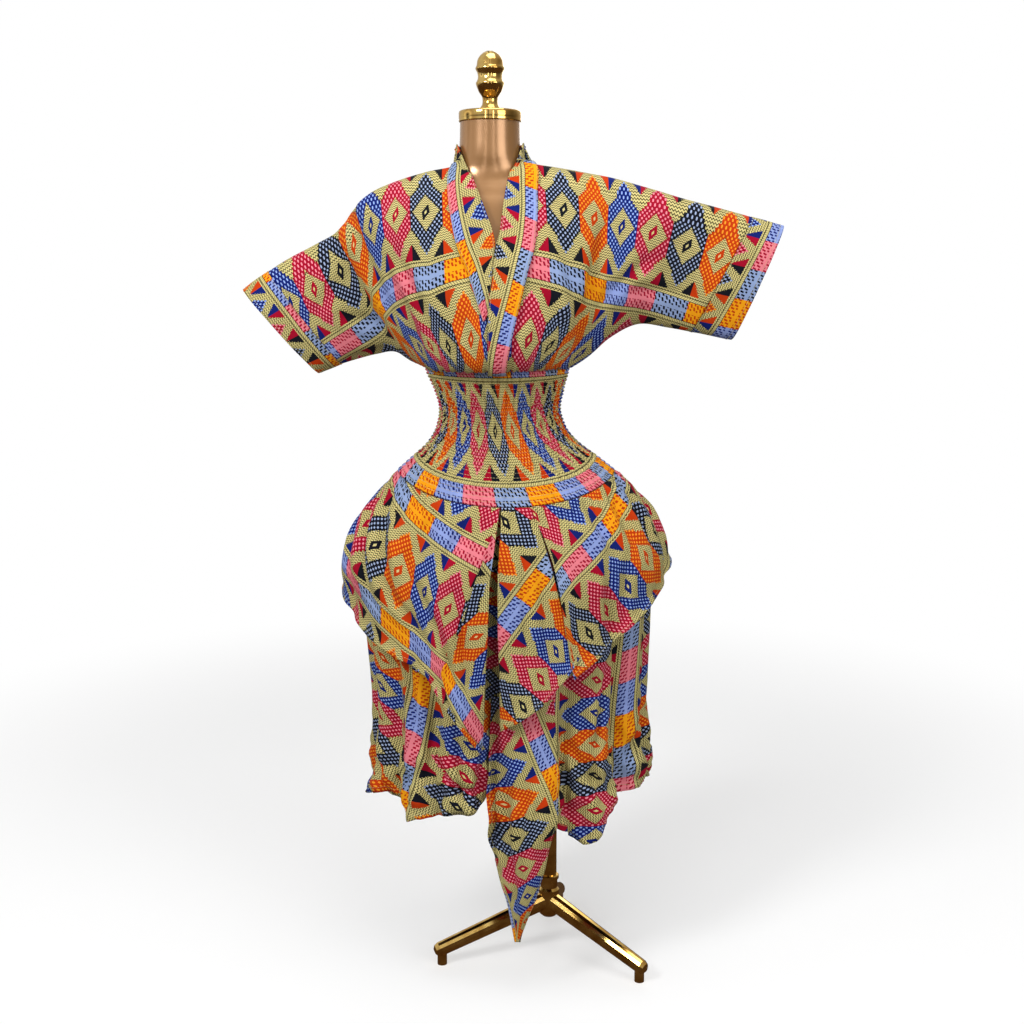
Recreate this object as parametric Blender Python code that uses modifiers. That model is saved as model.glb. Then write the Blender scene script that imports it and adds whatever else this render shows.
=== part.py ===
"""A handkerchief dress on a limbless dress form with a tripod stand.

Metres, +Z up, the front faces -Y. The model is laid out from the form's own axis and is then centred,
so that the origin is at the bottom centre of everything. An angle round the body is 0 at the front
and grows towards +X.
"""

import math
from collections import namedtuple

import bmesh
import bpy
import numpy as np

# Cloth
CLOTH = 0.0016
SEAM = 0.0003
SEAM_SET_BACK = 0.0002
SKIRT_SEAM = 0.0009

# Heights that drive the garment
WAIST_TOP = 1.086
WAIST_LOW_SIDE = 0.912
WAIST_DIP_FRONT = 0.045
WAIST_DIP_BACK = 0.022
WAIST_WALL = 0.0022
RIB_HEIGHT = 0.0026
RIBS = 64
INNER_SIDES = 32
WAIST_ROWS = 9
FORM_CLEARANCE = 0.0022
CUFF_WIDTH = 0.055
BAND_LIFT = 0.0011
SHOULDER_LIFT = 0.0024
TOP_BAND_LIFTS = 1.315

# The form and its stand
NECK_X = -0.0365
NECK_RADIUS = 0.052
FORM_TOP = 1.497
FORM_FOOT = 0.700
CAP_RADIUS = 0.0527
CAP_HEIGHT = 0.0185
POLE_X = 0.067
POLE_RADIUS = 0.0135
HUB_TOP = 0.176
HUB_RADIUS = 0.0185
FLOOR = 0.033
LEG_ROOT_HEIGHT = 0.128
LEG_END_HEIGHT = FLOOR + 0.0245
LEG_REACH = 0.215
LEG_ROOT_RADIUS = 0.0150
LEG_ANGLES = (198.0, 320.0, 83.0)
FOOT_RADIUS = 0.0085
FOOT_HEIGHT = 0.020

Section = namedtuple("Section", "height centre_x half_width front back")

# The form, from its neck to its foot
FORM = [
    Section(1.4970, NECK_X, 0.0505, 0.0500, 0.0500),
    Section(1.4700, NECK_X, 0.0510, 0.0505, 0.0500),
    Section(1.4520, NECK_X, 0.0520, 0.0510, 0.0500),
    Section(1.4360, NECK_X, 0.0535, 0.0505, 0.0485),
    Section(1.4220, NECK_X, 0.0600, 0.0480, 0.0460),
    Section(1.4080, -0.0365, 0.0760, 0.0490, 0.0480),
    Section(1.3900, -0.0360, 0.1080, 0.0560, 0.0470),
    Section(1.3600, -0.0350, 0.1440, 0.0680, 0.0530),
    Section(1.3150, -0.0340, 0.1660, 0.0830, 0.0640),
    Section(1.2500, -0.0310, 0.1600, 0.1020, 0.0740),
    Section(1.1900, -0.0280, 0.1450, 0.1120, 0.0820),
    Section(1.1300, -0.0260, 0.1230, 0.0980, 0.0840),
]

# The dress from the waist seam down over the hips, as its outer wall runs
WAIST = [
    Section(1.086, -0.0250, 0.1220, 0.0980, 0.0920),
    Section(1.050, -0.0220, 0.1100, 0.0880, 0.0850),
    Section(1.018, -0.0207, 0.1035, 0.0825, 0.0820),
    Section(0.985, -0.0185, 0.1115, 0.0870, 0.0890),
    Section(0.960, -0.0150, 0.1300, 0.0970, 0.1010),
    Section(0.937, -0.0120, 0.1580, 0.1100, 0.1160),
    Section(0.912, -0.0100, 0.1880, 0.1240, 0.1310),
    Section(0.885, -0.0080, 0.2125, 0.1360, 0.1450),
    Section(0.841, -0.0080, 0.2500, 0.1550, 0.1650),
]
OVERSKIRT = WAIST[-3:] + [
    Section(0.788, -0.0100, 0.2790, 0.1720, 0.1820),
    Section(0.745, -0.0120, 0.2860, 0.1800, 0.1900),
    Section(0.700, -0.0120, 0.2780, 0.1840, 0.1930),
    Section(0.600, -0.0110, 0.2700, 0.1900, 0.1960),
    Section(0.430, -0.0090, 0.2680, 0.1960, 0.2000),
]
UNDERSKIRT = [
    Section(0.912, -0.0100, 0.1880, 0.1240, 0.1310),
    Section(0.885, -0.0080, 0.2060, 0.1300, 0.1390),
    Section(0.841, -0.0080, 0.2270, 0.1420, 0.1520),
    Section(0.788, -0.0090, 0.2420, 0.1520, 0.1610),
    Section(0.740, -0.0090, 0.2500, 0.1580, 0.1660),
    Section(0.680, -0.0080, 0.2560, 0.1630, 0.1700),
    Section(0.500, -0.0040, 0.2480, 0.1700, 0.1760),
    Section(0.380, -0.0020, 0.2560, 0.1780, 0.1840),
    Section(0.260, -0.0010, 0.2640, 0.1860, 0.1920),
]

Fold = namedtuple("Fold", "angle half_width height")

# Ridges and valleys of the underskirt at its hem, in degrees and metres
UNDER_FOLDS = [
    Fold(-6.0, 5.5, -0.048),
    Fold(-20.0, 5.0, 0.006),
    Fold(-31.0, 4.0, -0.016),
    Fold(-42.0, 5.0, 0.008),
    Fold(-53.0, 4.0, -0.018),
    Fold(-64.0, 5.0, 0.006),
    Fold(-76.0, 4.5, -0.014),
    Fold(-100.0, 5.0, -0.018),
    Fold(-122.0, 6.0, -0.016),
    Fold(-146.0, 5.0, -0.020),
    Fold(-165.0, 5.0, 0.006),
    Fold(12.0, 5.0, 0.004),
    Fold(24.0, 3.5, -0.022),
    Fold(36.0, 6.0, 0.016),
    Fold(49.0, 3.5, -0.024),
    Fold(63.0, 5.0, 0.006),
    Fold(76.0, 4.5, -0.016),
    Fold(98.0, 5.0, -0.016),
    Fold(118.0, 6.0, -0.018),
    Fold(142.0, 5.0, -0.020),
    Fold(160.0, 5.0, 0.006),
    Fold(178.0, 5.0, -0.018),
]
# Soft folds of the two overskirts
OVER_FOLDS = [
    Fold(-22.0, 6.0, 0.005),
    Fold(-35.0, 3.5, -0.008),
    Fold(-50.0, 7.0, 0.004),
    Fold(-72.0, 5.0, -0.008),
    Fold(-105.0, 6.0, -0.010),
    Fold(-135.0, 7.0, -0.010),
    Fold(-160.0, 6.0, 0.004),
    Fold(6.0, 5.0, 0.004),
    Fold(22.0, 4.0, 0.006),
    Fold(42.0, 4.5, -0.010),
    Fold(60.0, 6.0, 0.004),
    Fold(78.0, 4.5, -0.010),
    Fold(108.0, 6.0, -0.010),
    Fold(138.0, 7.0, -0.010),
    Fold(162.0, 6.0, 0.004),
]

HemPoint = namedtuple("HemPoint", "angle height")

UNDER_HEM = [
    HemPoint(-180, 0.300), HemPoint(-160, 0.335), HemPoint(-140, 0.318), HemPoint(-120, 0.292),
    HemPoint(-105, 0.330), HemPoint(-88, 0.320), HemPoint(-74, 0.324), HemPoint(-60, 0.318),
    HemPoint(-50, 0.312), HemPoint(-42, 0.330), HemPoint(-33, 0.334), HemPoint(-22, 0.362),
    HemPoint(-12, 0.392), HemPoint(-2, 0.396), HemPoint(10, 0.350), HemPoint(20, 0.318),
    HemPoint(28, 0.296), HemPoint(37, 0.292), HemPoint(45, 0.325), HemPoint(52, 0.366),
    HemPoint(66, 0.372), HemPoint(90, 0.362), HemPoint(108, 0.330), HemPoint(126, 0.292),
    HemPoint(144, 0.322), HemPoint(162, 0.336), HemPoint(180, 0.300),
]
LEFT_HEM = [
    HemPoint(-180, 0.470), HemPoint(-150, 0.560), HemPoint(-120, 0.655), HemPoint(-90, 0.705),
    HemPoint(-62, 0.655), HemPoint(-28, 0.588), HemPoint(-9, 0.455), HemPoint(0, 0.450),
]
INSET_HEM = [HemPoint(-4, 0.492), HemPoint(14, 0.546), HemPoint(30, 0.640)]
RIGHT_HEM = [
    HemPoint(8, 0.720), HemPoint(13, 0.700), HemPoint(24, 0.586), HemPoint(40, 0.632), HemPoint(62, 0.700),
    HemPoint(90, 0.757), HemPoint(120, 0.675), HemPoint(150, 0.570), HemPoint(180, 0.470),
]
LEFT_EDGE_TOP = -3.2
LEFT_EDGE_LOW = -9.4
INSET_EDGE_TOP = -2.4
INSET_EDGE_LOW = -2.4
INSET_FAR_EDGE = 23.5
INSET_SINK = 0.0038
RIGHT_EDGE_TOP = 9.0
RIGHT_EDGE_LOW = 24.0
BACK_EDGE = 179.9
EDGE_TURN_IN = 0.018
GATHER = 0.0016
GATHER_REACH = 0.055
OVER_CLEARANCE = 0.0075

# The long corner at the front
POINT_CLEARANCE = 0.0020
PointRow = namedtuple("PointRow", "height left right depth crease")
FRONT_POINT = [
    PointRow(0.450, -0.0380, 0.0760, 0.000, 0.000),
    PointRow(0.400, -0.0414, 0.0796, 0.005, 0.004),
    PointRow(0.350, -0.0420, 0.0800, 0.009, 0.007),
    PointRow(0.305, -0.0383, 0.0750, 0.011, 0.008),
    PointRow(0.245, -0.0225, 0.0560, 0.013, 0.007),
    PointRow(0.190, -0.0070, 0.0320, 0.013, 0.004),
    PointRow(0.130, 0.0040, 0.0140, 0.013, 0.000),
]

# Bodice and sleeves in one, a row for each line from the shoulder ridge down to the seam below
Line = namedtuple("Line", "top_x top_y top_z low_x low_z low_front low_back front back")
LEFT_LINES = [
    Line(-0.0365, 0.004, 1.440, -0.0250, 1.087, 0.0985, 0.0925, 0.070, 0.044),
    Line(-0.1040, 0.004, 1.424, -0.0560, 1.087, 0.0950, 0.0890, 0.075, 0.048),
    Line(-0.1500, 0.003, 1.4145, -0.0980, 1.087, 0.0790, 0.0740, 0.076, 0.053),
    Line(-0.1950, 0.003, 1.4010, -0.1280, 1.087, 0.0530, 0.0500, 0.075, 0.057),
    Line(-0.2380, 0.006, 1.3810, -0.1470, 1.088, 0.0070, 0.0070, 0.075, 0.058),
    Line(-0.2700, 0.014, 1.3530, -0.1720, 1.098, -0.0120, 0.0120, 0.070, 0.054),
    Line(-0.2960, 0.028, 1.3200, -0.2020, 1.114, -0.0280, 0.0280, 0.052, 0.048),
    Line(-0.3350, 0.042, 1.2990, -0.2330, 1.110, -0.0420, 0.0420, 0.046, 0.044),
    Line(-0.3850, 0.052, 1.2740, -0.2680, 1.101, -0.0520, 0.0520, 0.046, 0.044),
    Line(-0.4280, 0.057, 1.2480, -0.3030, 1.090, -0.0570, 0.0570, 0.046, 0.044),
    Line(-0.4680, 0.060, 1.2210, -0.3390, 1.076, -0.0600, 0.0600, 0.044, 0.042),
]
RIGHT_LINES = [
    Line(-0.0365, 0.004, 1.440, -0.0250, 1.087, 0.0985, 0.0925, 0.070, 0.044),
    Line(0.0310, 0.004, 1.4300, 0.0050, 1.087, 0.0950, 0.0890, 0.075, 0.048),
    Line(0.0850, 0.003, 1.4220, 0.0480, 1.087, 0.0790, 0.0740, 0.076, 0.053),
    Line(0.1350, 0.003, 1.4130, 0.0780, 1.087, 0.0530, 0.0500, 0.075, 0.057),
    Line(0.1850, 0.003, 1.4020, 0.0975, 1.088, 0.0070, 0.0070, 0.075, 0.058),
    Line(0.2350, 0.003, 1.3880, 0.1290, 1.106, -0.0030, 0.0030, 0.073, 0.056),
    Line(0.2830, 0.003, 1.3740, 0.1660, 1.138, -0.0030, 0.0030, 0.062, 0.052),
    Line(0.3300, 0.003, 1.3620, 0.2150, 1.162, -0.0030, 0.0030, 0.050, 0.048),
    Line(0.3750, 0.002, 1.3500, 0.2680, 1.156, -0.0020, 0.0020, 0.047, 0.045),
    Line(0.4180, 0.001, 1.3380, 0.3210, 1.146, -0.0010, 0.0010, 0.047, 0.044),
    Line(0.4580, 0.000, 1.3264, 0.3743, 1.135, 0.0, 0.0, 0.045, 0.042),
]
ROUNDNESS = 0.75
BACK_NECK_Y = 0.062
INNER_AT_WAIST = 0.25
INNER_TURN = 0.35

# Edges of the neck bands: where they run on the chest, from the neck down, then round the neck
Edge = namedtuple("Edge", "inner_x outer_x inner_z outer_z")
LEFT_BAND = [
    Edge(-0.0790, -0.1085, 1.4380, 1.4160),
    Edge(-0.0640, -0.1030, 1.4050, 1.3700),
    Edge(-0.0480, -0.0975, 1.3600, 1.3250),
    Edge(-0.0310, -0.0880, 1.3130, 1.2850),
    Edge(-0.0277, -0.0720, 1.2840, 1.2480),
    Edge(-0.0325, -0.0590, 1.2350, 1.2080),
    Edge(-0.0392, -0.0470, 1.1800, 1.1700),
]
RIGHT_BAND = [
    Edge(0.0060, 0.0400, 1.4380, 1.4180),
    Edge(-0.0090, 0.0420, 1.4050, 1.3780),
    Edge(-0.0140, 0.0415, 1.3600, 1.3350),
    Edge(-0.0200, 0.0370, 1.3130, 1.2900),
    Edge(-0.0270, 0.0260, 1.2840, 1.2500),
    Edge(-0.0320, 0.0150, 1.2350, 1.2050),
    Edge(-0.0388, 0.0040, 1.1800, 1.1600),
    Edge(-0.0395, -0.0080, 1.1040, 1.1040),
]
CollarRow = namedtuple("CollarRow", "angle upper_radius lower_radius upper_z lower_z")
COLLAR = [
    CollarRow(-60, 0.0555, 0.0735, 1.4470, 1.4270),
    CollarRow(-90, 0.0550, 0.0705, 1.4560, 1.4252),
    CollarRow(-135, 0.0550, 0.0640, 1.4620, 1.4310),
    CollarRow(180, 0.0560, 0.0675, 1.4650, 1.4412),
    CollarRow(135, 0.0550, 0.0640, 1.4630, 1.4348),
    CollarRow(90, 0.0550, 0.0705, 1.4570, 1.4300),
    CollarRow(69, 0.0555, 0.0730, 1.4490, 1.4285),
]

TurnPoint = namedtuple("TurnPoint", "height radius")
FINIAL = [
    TurnPoint(1.5161, 0.0000), TurnPoint(1.5161, 0.0176), TurnPoint(1.5224, 0.0160), TurnPoint(1.5256, 0.0135),
    TurnPoint(1.5368, 0.0130), TurnPoint(1.5400, 0.0145), TurnPoint(1.5464, 0.0190), TurnPoint(1.5544, 0.0225),
    TurnPoint(1.5608, 0.0240), TurnPoint(1.5632, 0.0228), TurnPoint(1.5672, 0.0208), TurnPoint(1.5720, 0.0204),
    TurnPoint(1.5775, 0.0215), TurnPoint(1.5840, 0.0248), TurnPoint(1.5870, 0.0232), TurnPoint(1.5927, 0.0220),
    TurnPoint(1.6007, 0.0198), TurnPoint(1.6080, 0.0140), TurnPoint(1.6120, 0.0072), TurnPoint(1.6135, 0.0000),
]
HUB = [
    TurnPoint(0.0980, 0.0000), TurnPoint(0.0980, 0.0120), TurnPoint(0.1040, HUB_RADIUS), TurnPoint(0.1480, HUB_RADIUS),
    TurnPoint(0.1520, 0.0152), TurnPoint(0.1680, 0.0152), TurnPoint(0.1690, 0.0178), TurnPoint(0.1745, 0.0178),
    TurnPoint(HUB_TOP, 0.0165), TurnPoint(HUB_TOP, 0.0000),
]


def clear_scene():
    for thing in list(bpy.data.objects):
        bpy.data.objects.remove(thing)


def finish_material(name, colour, roughness, metallic=0.0):
    made = bpy.data.materials.new(name)
    made.use_nodes = True
    shader = made.node_tree.nodes["Principled BSDF"]
    shader.inputs["Base Color"].default_value = (*colour, 1.0)
    shader.inputs["Roughness"].default_value = roughness
    shader.inputs["Metallic"].default_value = metallic
    return made


def smooth_rows(table, at):
    """A table's columns at a fractional row number, on a smooth curve through its rows."""
    rows = np.array(table, float)
    at = min(max(at, 0.0), len(rows) - 1.0)
    low = min(int(at), len(rows) - 2)
    share = at - low
    before, start, end, after = (rows[min(max(low + k, 0), len(rows) - 1)] for k in (-1, 0, 1, 2))
    return 0.5 * (
        2 * start
        + (end - before) * share
        + (2 * before - 5 * start + 4 * end - after) * share**2
        + (3 * start - before - 3 * end + after) * share**3
    )


def section_at(table, height):
    """The section of a body at a height, on a smooth curve through the table."""
    heights = [row.height for row in table]
    falling = -np.array(heights)
    row = float(np.interp(-height, falling, np.arange(len(heights))))
    low = min(int(row), len(table) - 2)
    top, foot = heights[low], heights[low + 1]
    share = (top - height) / (top - foot)
    return Section(*smooth_rows(table, low + min(max(share, 0.0), 1.0)))


def hem_height(table, angle):
    return float(np.interp(angle, [p.angle for p in table], [p.height for p in table]))


def fold_lift(folds, angle, share):
    """How far the folds move the cloth out at an angle, with share 0 at the waist and 1 at the hem."""
    total = 0.0
    for fold in folds:
        apart = (angle - fold.angle + 180.0) % 360.0 - 180.0
        total += fold.height * math.exp(-((apart / fold.half_width) ** 2))
    return total * share**0.8


def round_point(table, angle, height, lift=0.0):
    """A point round the body at an angle and a height, moved out by lift."""
    section = section_at(table, height)
    turn = math.radians(angle)
    depth = section.front if math.cos(turn) >= 0 else section.back
    return (
        section.centre_x + (section.half_width + lift) * math.sin(turn),
        -(depth + lift) * math.cos(turn),
        height,
    )


def waist_low(angle):
    """Height of the seam between waist panel and skirts, which dips at the front and the back."""
    facing = math.cos(math.radians(angle))
    return WAIST_LOW_SIDE - (WAIST_DIP_FRONT if facing > 0 else WAIST_DIP_BACK) * facing**2


def sheet_faces(rows, columns, closed, flip, split=False):
    """Faces of a grid of points, numbered row by row: quads, or triangles where both sides must bend alike."""
    faces = []
    for i in range(rows - 1):
        for j in range(columns if closed else columns - 1):
            k = (j + 1) % columns
            a, b, c, d = i * columns + j, (i + 1) * columns + j, (i + 1) * columns + k, i * columns + k
            for face in ((a, b, c), (a, c, d)) if split else ((a, b, c, d),):
                faces.append(face[::-1] if flip else face)
    return faces


def new_object(name, points, faces, finish, home):
    mesh = bpy.data.meshes.new(name)
    mesh.from_pydata([tuple(float(c) for c in p) for p in points], [], faces)
    mesh.update()
    mesh.materials.append(finish)
    thing = bpy.data.objects.new(name, mesh)
    home.objects.link(thing)
    return thing


def grid_normals(grid, closed, flip):
    """The outward direction at each point of a grid."""
    points = np.array(grid, float)
    down = np.gradient(points, axis=0)
    if closed:
        across = (np.roll(points, -1, axis=1) - np.roll(points, 1, axis=1)) / 2
    else:
        across = np.gradient(points, axis=1)
    normals = np.cross(down, across)
    normals /= np.linalg.norm(normals, axis=2, keepdims=True)
    return -normals if flip else normals


def cloth_piece(name, grid, finish, home, closed=False, flip=False, thickness=CLOTH, seams=False):
    """A piece of cloth: an outer and an inner surface with a rim round them.

    With seams, the first and the last row meet another piece front to back, so their wall keeps to its side.
    """
    rows, columns = len(grid), len(grid[0])
    normals = grid_normals(grid, closed, flip)
    if seams:
        for row in (0, -1):
            normals[row, :, 1] = 0.0
            normals[row] /= np.linalg.norm(normals[row], axis=1, keepdims=True)
    inner = np.array(grid, float) - normals * thickness
    points = [tuple(p) for row in grid for p in row]
    inside = [tuple(p) for row in inner for p in row]
    start = len(points)
    faces = sheet_faces(rows, columns, closed, flip, split=True)
    faces += [tuple(start + k for k in face) for face in sheet_faces(rows, columns, closed, not flip, split=True)]
    rim = [(0, j, 0, j + 1) for j in range(columns - 1)]
    rim += [(rows - 1, j + 1, rows - 1, j) for j in range(columns - 1)]
    if closed:
        rim += [(0, columns - 1, 0, 0), (rows - 1, 0, rows - 1, columns - 1)]
    else:
        rim += [(i + 1, 0, i, 0) for i in range(rows - 1)]
        rim += [(i, columns - 1, i + 1, columns - 1) for i in range(rows - 1)]
    for i, j, k, m in rim:
        a, b = i * columns + j, k * columns + m
        face = (a, b, start + b, start + a)
        faces.append(face[::-1] if flip else face)
    thing = new_object(name, points + inside, faces, finish, home)
    thing.data.shade_smooth()
    return thing


def turned_piece(name, profile, centre, finish, home, sides=32):
    """A turned piece: its profile, from the foot up, with a Screw modifier round a vertical axis."""
    mesh = bpy.data.meshes.new(name)
    points = [(p.radius, 0.0, p.height) for p in profile]
    mesh.from_pydata(points, [(i, i + 1) for i in range(len(points) - 1)], [])
    mesh.materials.append(finish)
    thing = bpy.data.objects.new(name, mesh)
    thing.location = (centre, 0.0, 0.0)
    home.objects.link(thing)
    turn = thing.modifiers.new("turn", "SCREW")
    turn.steps = turn.render_steps = sides
    turn.use_merge_vertices = True
    turn.merge_threshold = 0.00005
    turn.use_normal_calculate = True
    return thing


def form_rows():
    """The sections of the form: its own down to the ribs, then just inside the waist panel, then its hips."""
    gap = WAIST_WALL + RIB_HEIGHT + FORM_CLEARANCE
    waist_heights = [WAIST_TOP - (WAIST_TOP - 0.952) * i / 7 for i in range(8)]
    rows = list(FORM)
    for height in waist_heights:
        s = section_at(WAIST, height)
        rows.append(Section(height, s.centre_x, s.half_width - gap, s.front - gap, s.back - gap))
    rows += [
        Section(0.910, -0.0080, 0.1450, 0.1020, 0.1120),
        Section(0.850, -0.0020, 0.1600, 0.1080, 0.1240),
        Section(0.780, 0.0050, 0.1640, 0.1080, 0.1260),
        Section(0.720, 0.0100, 0.1560, 0.1010, 0.1180),
        Section(FORM_FOOT, 0.0110, 0.1480, 0.0950, 0.1110),
    ]
    return rows


def dress_form(finish, home):
    """The torso: rings lofted from the neck to the hips and closed flat at both ends."""
    rings = form_rows()
    points = []
    for s in rings:
        for j in range(INNER_SIDES):
            turn = 2 * math.pi * j / INNER_SIDES
            depth = s.front if math.cos(turn) >= 0 else s.back
            points.append((s.centre_x + s.half_width * math.sin(turn), -depth * math.cos(turn), s.height))
    faces = sheet_faces(len(rings), INNER_SIDES, True, False)
    last = (len(rings) - 1) * INNER_SIDES
    faces.append(tuple(range(INNER_SIDES)))
    faces.append(tuple(last + j for j in reversed(range(INNER_SIDES))))
    thing = new_object("dress_form", points, faces, finish, home)
    thing.data.shade_smooth()
    return thing


def waist_panel(finish, home):
    """The shirred waist: upright ribs on the outside of a plain wall, open at the top and the bottom."""
    columns = RIBS * 2
    outer, inner = [], []
    for i in range(WAIST_ROWS):
        share = i / (WAIST_ROWS - 1)
        height_of_ribs = RIB_HEIGHT * (1.0 if 0 < i < WAIST_ROWS - 1 else 0.5)
        for j in range(columns):
            angle = 360.0 * j / columns
            height = WAIST_TOP + (waist_low(angle) - WAIST_TOP) * share
            lift = 0.0 if j % 2 == 0 else -height_of_ribs
            outer.append(round_point(WAIST, angle, height, lift))
        for j in range(INNER_SIDES):
            angle = 360.0 * j / INNER_SIDES
            height = WAIST_TOP + (waist_low(angle) - WAIST_TOP) * share
            inner.append(round_point(WAIST, angle, height, -RIB_HEIGHT - WAIST_WALL))
    faces = sheet_faces(WAIST_ROWS, columns, True, False)
    start = len(outer)
    for face in sheet_faces(WAIST_ROWS, INNER_SIDES, True, True):
        faces.append(tuple(start + k for k in face))
    each = columns // INNER_SIDES
    last_outer = (WAIST_ROWS - 1) * columns
    last_inner = start + (WAIST_ROWS - 1) * INNER_SIDES
    for j in range(INNER_SIDES):
        k = (j + 1) % INNER_SIDES
        for ring, inner_ring, way in ((0, start, 1), (last_outer, last_inner, -1)):
            run = [ring + (each * j + n) % columns for n in range(each + 1)]
            fan = [(run[n], run[n + 1], inner_ring + (j if n < each // 2 else k)) for n in range(each)]
            fan.append((run[each // 2], inner_ring + k, inner_ring + j))
            faces += [face[::way] for face in fan]
    return new_object("waist_panel", outer + inner, faces, finish, home)


def under_lift(angle, height):
    top, hem = waist_low(angle), hem_height(UNDER_HEM, angle)
    share = min(max((top - height) / (top - hem), 0.0), 1.0)
    return fold_lift(UNDER_FOLDS, angle, share) - 0.0045


def over_lift(angle, height, hem):
    """The overskirts' folds, kept clear of the underskirt beneath them."""
    top = waist_low(angle)
    share = min(max((top - height) / max(top - hem, 0.05), 0.0), 1.0)
    wanted = fold_lift(OVER_FOLDS, angle, share)
    over, under = section_at(OVERSKIRT, height), section_at(UNDERSKIRT, height)
    room = min(over.half_width - under.half_width, over.front - under.front)
    clearance = OVER_CLEARANCE * min(1.0, (top - height) / 0.03)
    return max(wanted, under_lift(angle, height) + clearance - room)


def underskirt(finish, home, columns=84, rows=9):
    """The full inner skirt, from the waist seam to its uneven hem."""
    grid = []
    for i in range(rows):
        ring = []
        for j in range(columns):
            angle = 360.0 * j / columns - 180.0
            top = waist_low(angle) - SKIRT_SEAM
            height = top + (hem_height(UNDER_HEM, angle) - top) * i / (rows - 1)
            ring.append(round_point(UNDERSKIRT, angle, height, under_lift(angle, height)))
        grid.append(ring)
    return cloth_piece("underskirt", grid, finish, home, closed=True, thickness=0.0014)


def overskirt_panel(name, finish, home, hems, edges, columns, rows, sink=0.0, turn_in=(0.0, 0.0)):
    """One draped panel between two edges, given as angles at the waist and at the hem."""
    (start_top, start_low), (end_top, end_low) = edges
    grid = []
    for i in range(rows):
        share = i / (rows - 1)
        line = []
        for j in range(columns):
            across = j / (columns - 1)
            first = start_top + (start_low - start_top) * share
            last = end_top + (end_low - end_top) * share
            angle = first + (last - first) * across
            top = waist_low(angle) - SKIRT_SEAM
            hem = hem_height(hems, angle)
            height = top + (hem - top) * share
            lift = over_lift(angle, height, hem) - sink * min(1.0, share * 4)
            fade = max(0.0, 1.0 - (top - height) / GATHER_REACH)
            lift += GATHER * fade * (1 if j % 2 else -1) * (1 if i else 0)
            lift -= turn_in[0] * share * max(0.0, 1 - across * (columns - 1) / 2.0) ** 2
            lift -= turn_in[1] * share * max(0.0, 1 - (1 - across) * (columns - 1) / 2.0) ** 2
            line.append(round_point(OVERSKIRT, angle, height, lift))
        grid.append(line)
    return cloth_piece(name, grid, finish, home)


def overskirts(finish, home):
    overskirt_panel(
        "overskirt_left", finish, home, LEFT_HEM,
        ((-BACK_EDGE, -BACK_EDGE), (LEFT_EDGE_TOP, LEFT_EDGE_LOW)), 37, 9, turn_in=(0.0, EDGE_TURN_IN),
    )
    overskirt_panel(
        "overskirt_right", finish, home, RIGHT_HEM,
        ((RIGHT_EDGE_TOP, RIGHT_EDGE_LOW), (BACK_EDGE, BACK_EDGE)), 37, 8, turn_in=(0.0, 0.0),
    )
    overskirt_panel(
        "overskirt_inset", finish, home, INSET_HEM,
        ((INSET_EDGE_TOP, INSET_EDGE_LOW), (RIGHT_EDGE_TOP - 0.4, INSET_FAR_EDGE)), 9, 9,
        sink=INSET_SINK, turn_in=(EDGE_TURN_IN, 0.0),
    )


def front_point(finish, home, columns=9, rows=11):
    """The long corner that hangs at the front, sewn to the underskirt along its top."""
    grid = []
    for i in range(rows):
        row = PointRow(*smooth_rows(FRONT_POINT, (len(FRONT_POINT) - 1) * i / (rows - 1)))
        line = []
        for j in range(columns):
            across = j / (columns - 1)
            x = row.left + (row.right - row.left) * across
            section = section_at(UNDERSKIRT, row.height)
            angle = math.degrees(math.asin((x - section.centre_x) / section.half_width))
            height = max(row.height, 0.40)
            nearby = max(under_lift(angle + apart, height) for apart in (-2.0, 0.0, 2.0))
            skin = round_point(UNDERSKIRT, angle, height, nearby)
            bend = row.crease * (1 - math.cos(2 * math.pi * (across - 0.25)))
            line.append((x, skin[1] - row.depth - POINT_CLEARANCE - bend, row.height))
        grid.append(line)
    return cloth_piece("front_point", grid, finish, home, thickness=0.0014)


def bodice_point(lines, row, share, back):
    """A point of the bodice: row counts the lines from the centre to the cuff, share runs from the ridge down."""
    line = Line(*smooth_rows(lines, row))
    turn = math.pi * share
    along = (1 - math.cos(turn)) / 2
    out = max(math.sin(turn), 0.0) ** ROUNDNESS
    top_y = line.top_y
    if back and row < 1.0:
        top_y += BACK_NECK_Y * math.cos(math.pi / 2 * row) ** 0.8
    middle = (line.low_back - line.low_front) / 2
    apart = max((line.low_back + line.low_front) / 2, 0.0)
    low_y = middle + apart if back else middle - apart
    bulge = line.back if back else -line.front
    side = SEAM_SET_BACK if back else -SEAM_SET_BACK
    return (
        line.top_x + (line.low_x - line.top_x) * along,
        top_y + (low_y - top_y) * along + bulge * out + side,
        line.top_z + (line.low_z - line.top_z) * along,
    )


def inner_row(share):
    """The line at which a front's inner edge runs, hidden under the neck band on its way to the waist."""
    along = (1 - math.cos(math.pi * share)) / 2
    turn = min(max((along - INNER_TURN) / (1 - INNER_TURN), 0.0), 1.0)
    return 1.0 + (INNER_AT_WAIST - 1.0) * turn


def front_depth(x, z):
    """The y of the bodice's front over a point of the chest."""
    lines = LEFT_LINES if x < NECK_X else RIGHT_LINES
    rows = np.linspace(0.0, 4.0, 33)
    samples = [Line(*smooth_rows(lines, row)) for row in rows]
    drop = [min(max((one.top_z - z) / (one.top_z - one.low_z), 0.0), 1.0) for one in samples]
    apart = [abs(one.top_x + (one.low_x - one.top_x) * d - NECK_X) for one, d in zip(samples, drop)]
    row = float(np.interp(abs(x - NECK_X), np.maximum.accumulate(apart), rows))
    line = Line(*smooth_rows(lines, row))
    along = min(max((line.top_z - z) / (line.top_z - line.low_z), 0.0), 1.0)
    return bodice_point(lines, row, math.acos(1 - 2 * along) / math.pi, False)[1]


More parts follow.
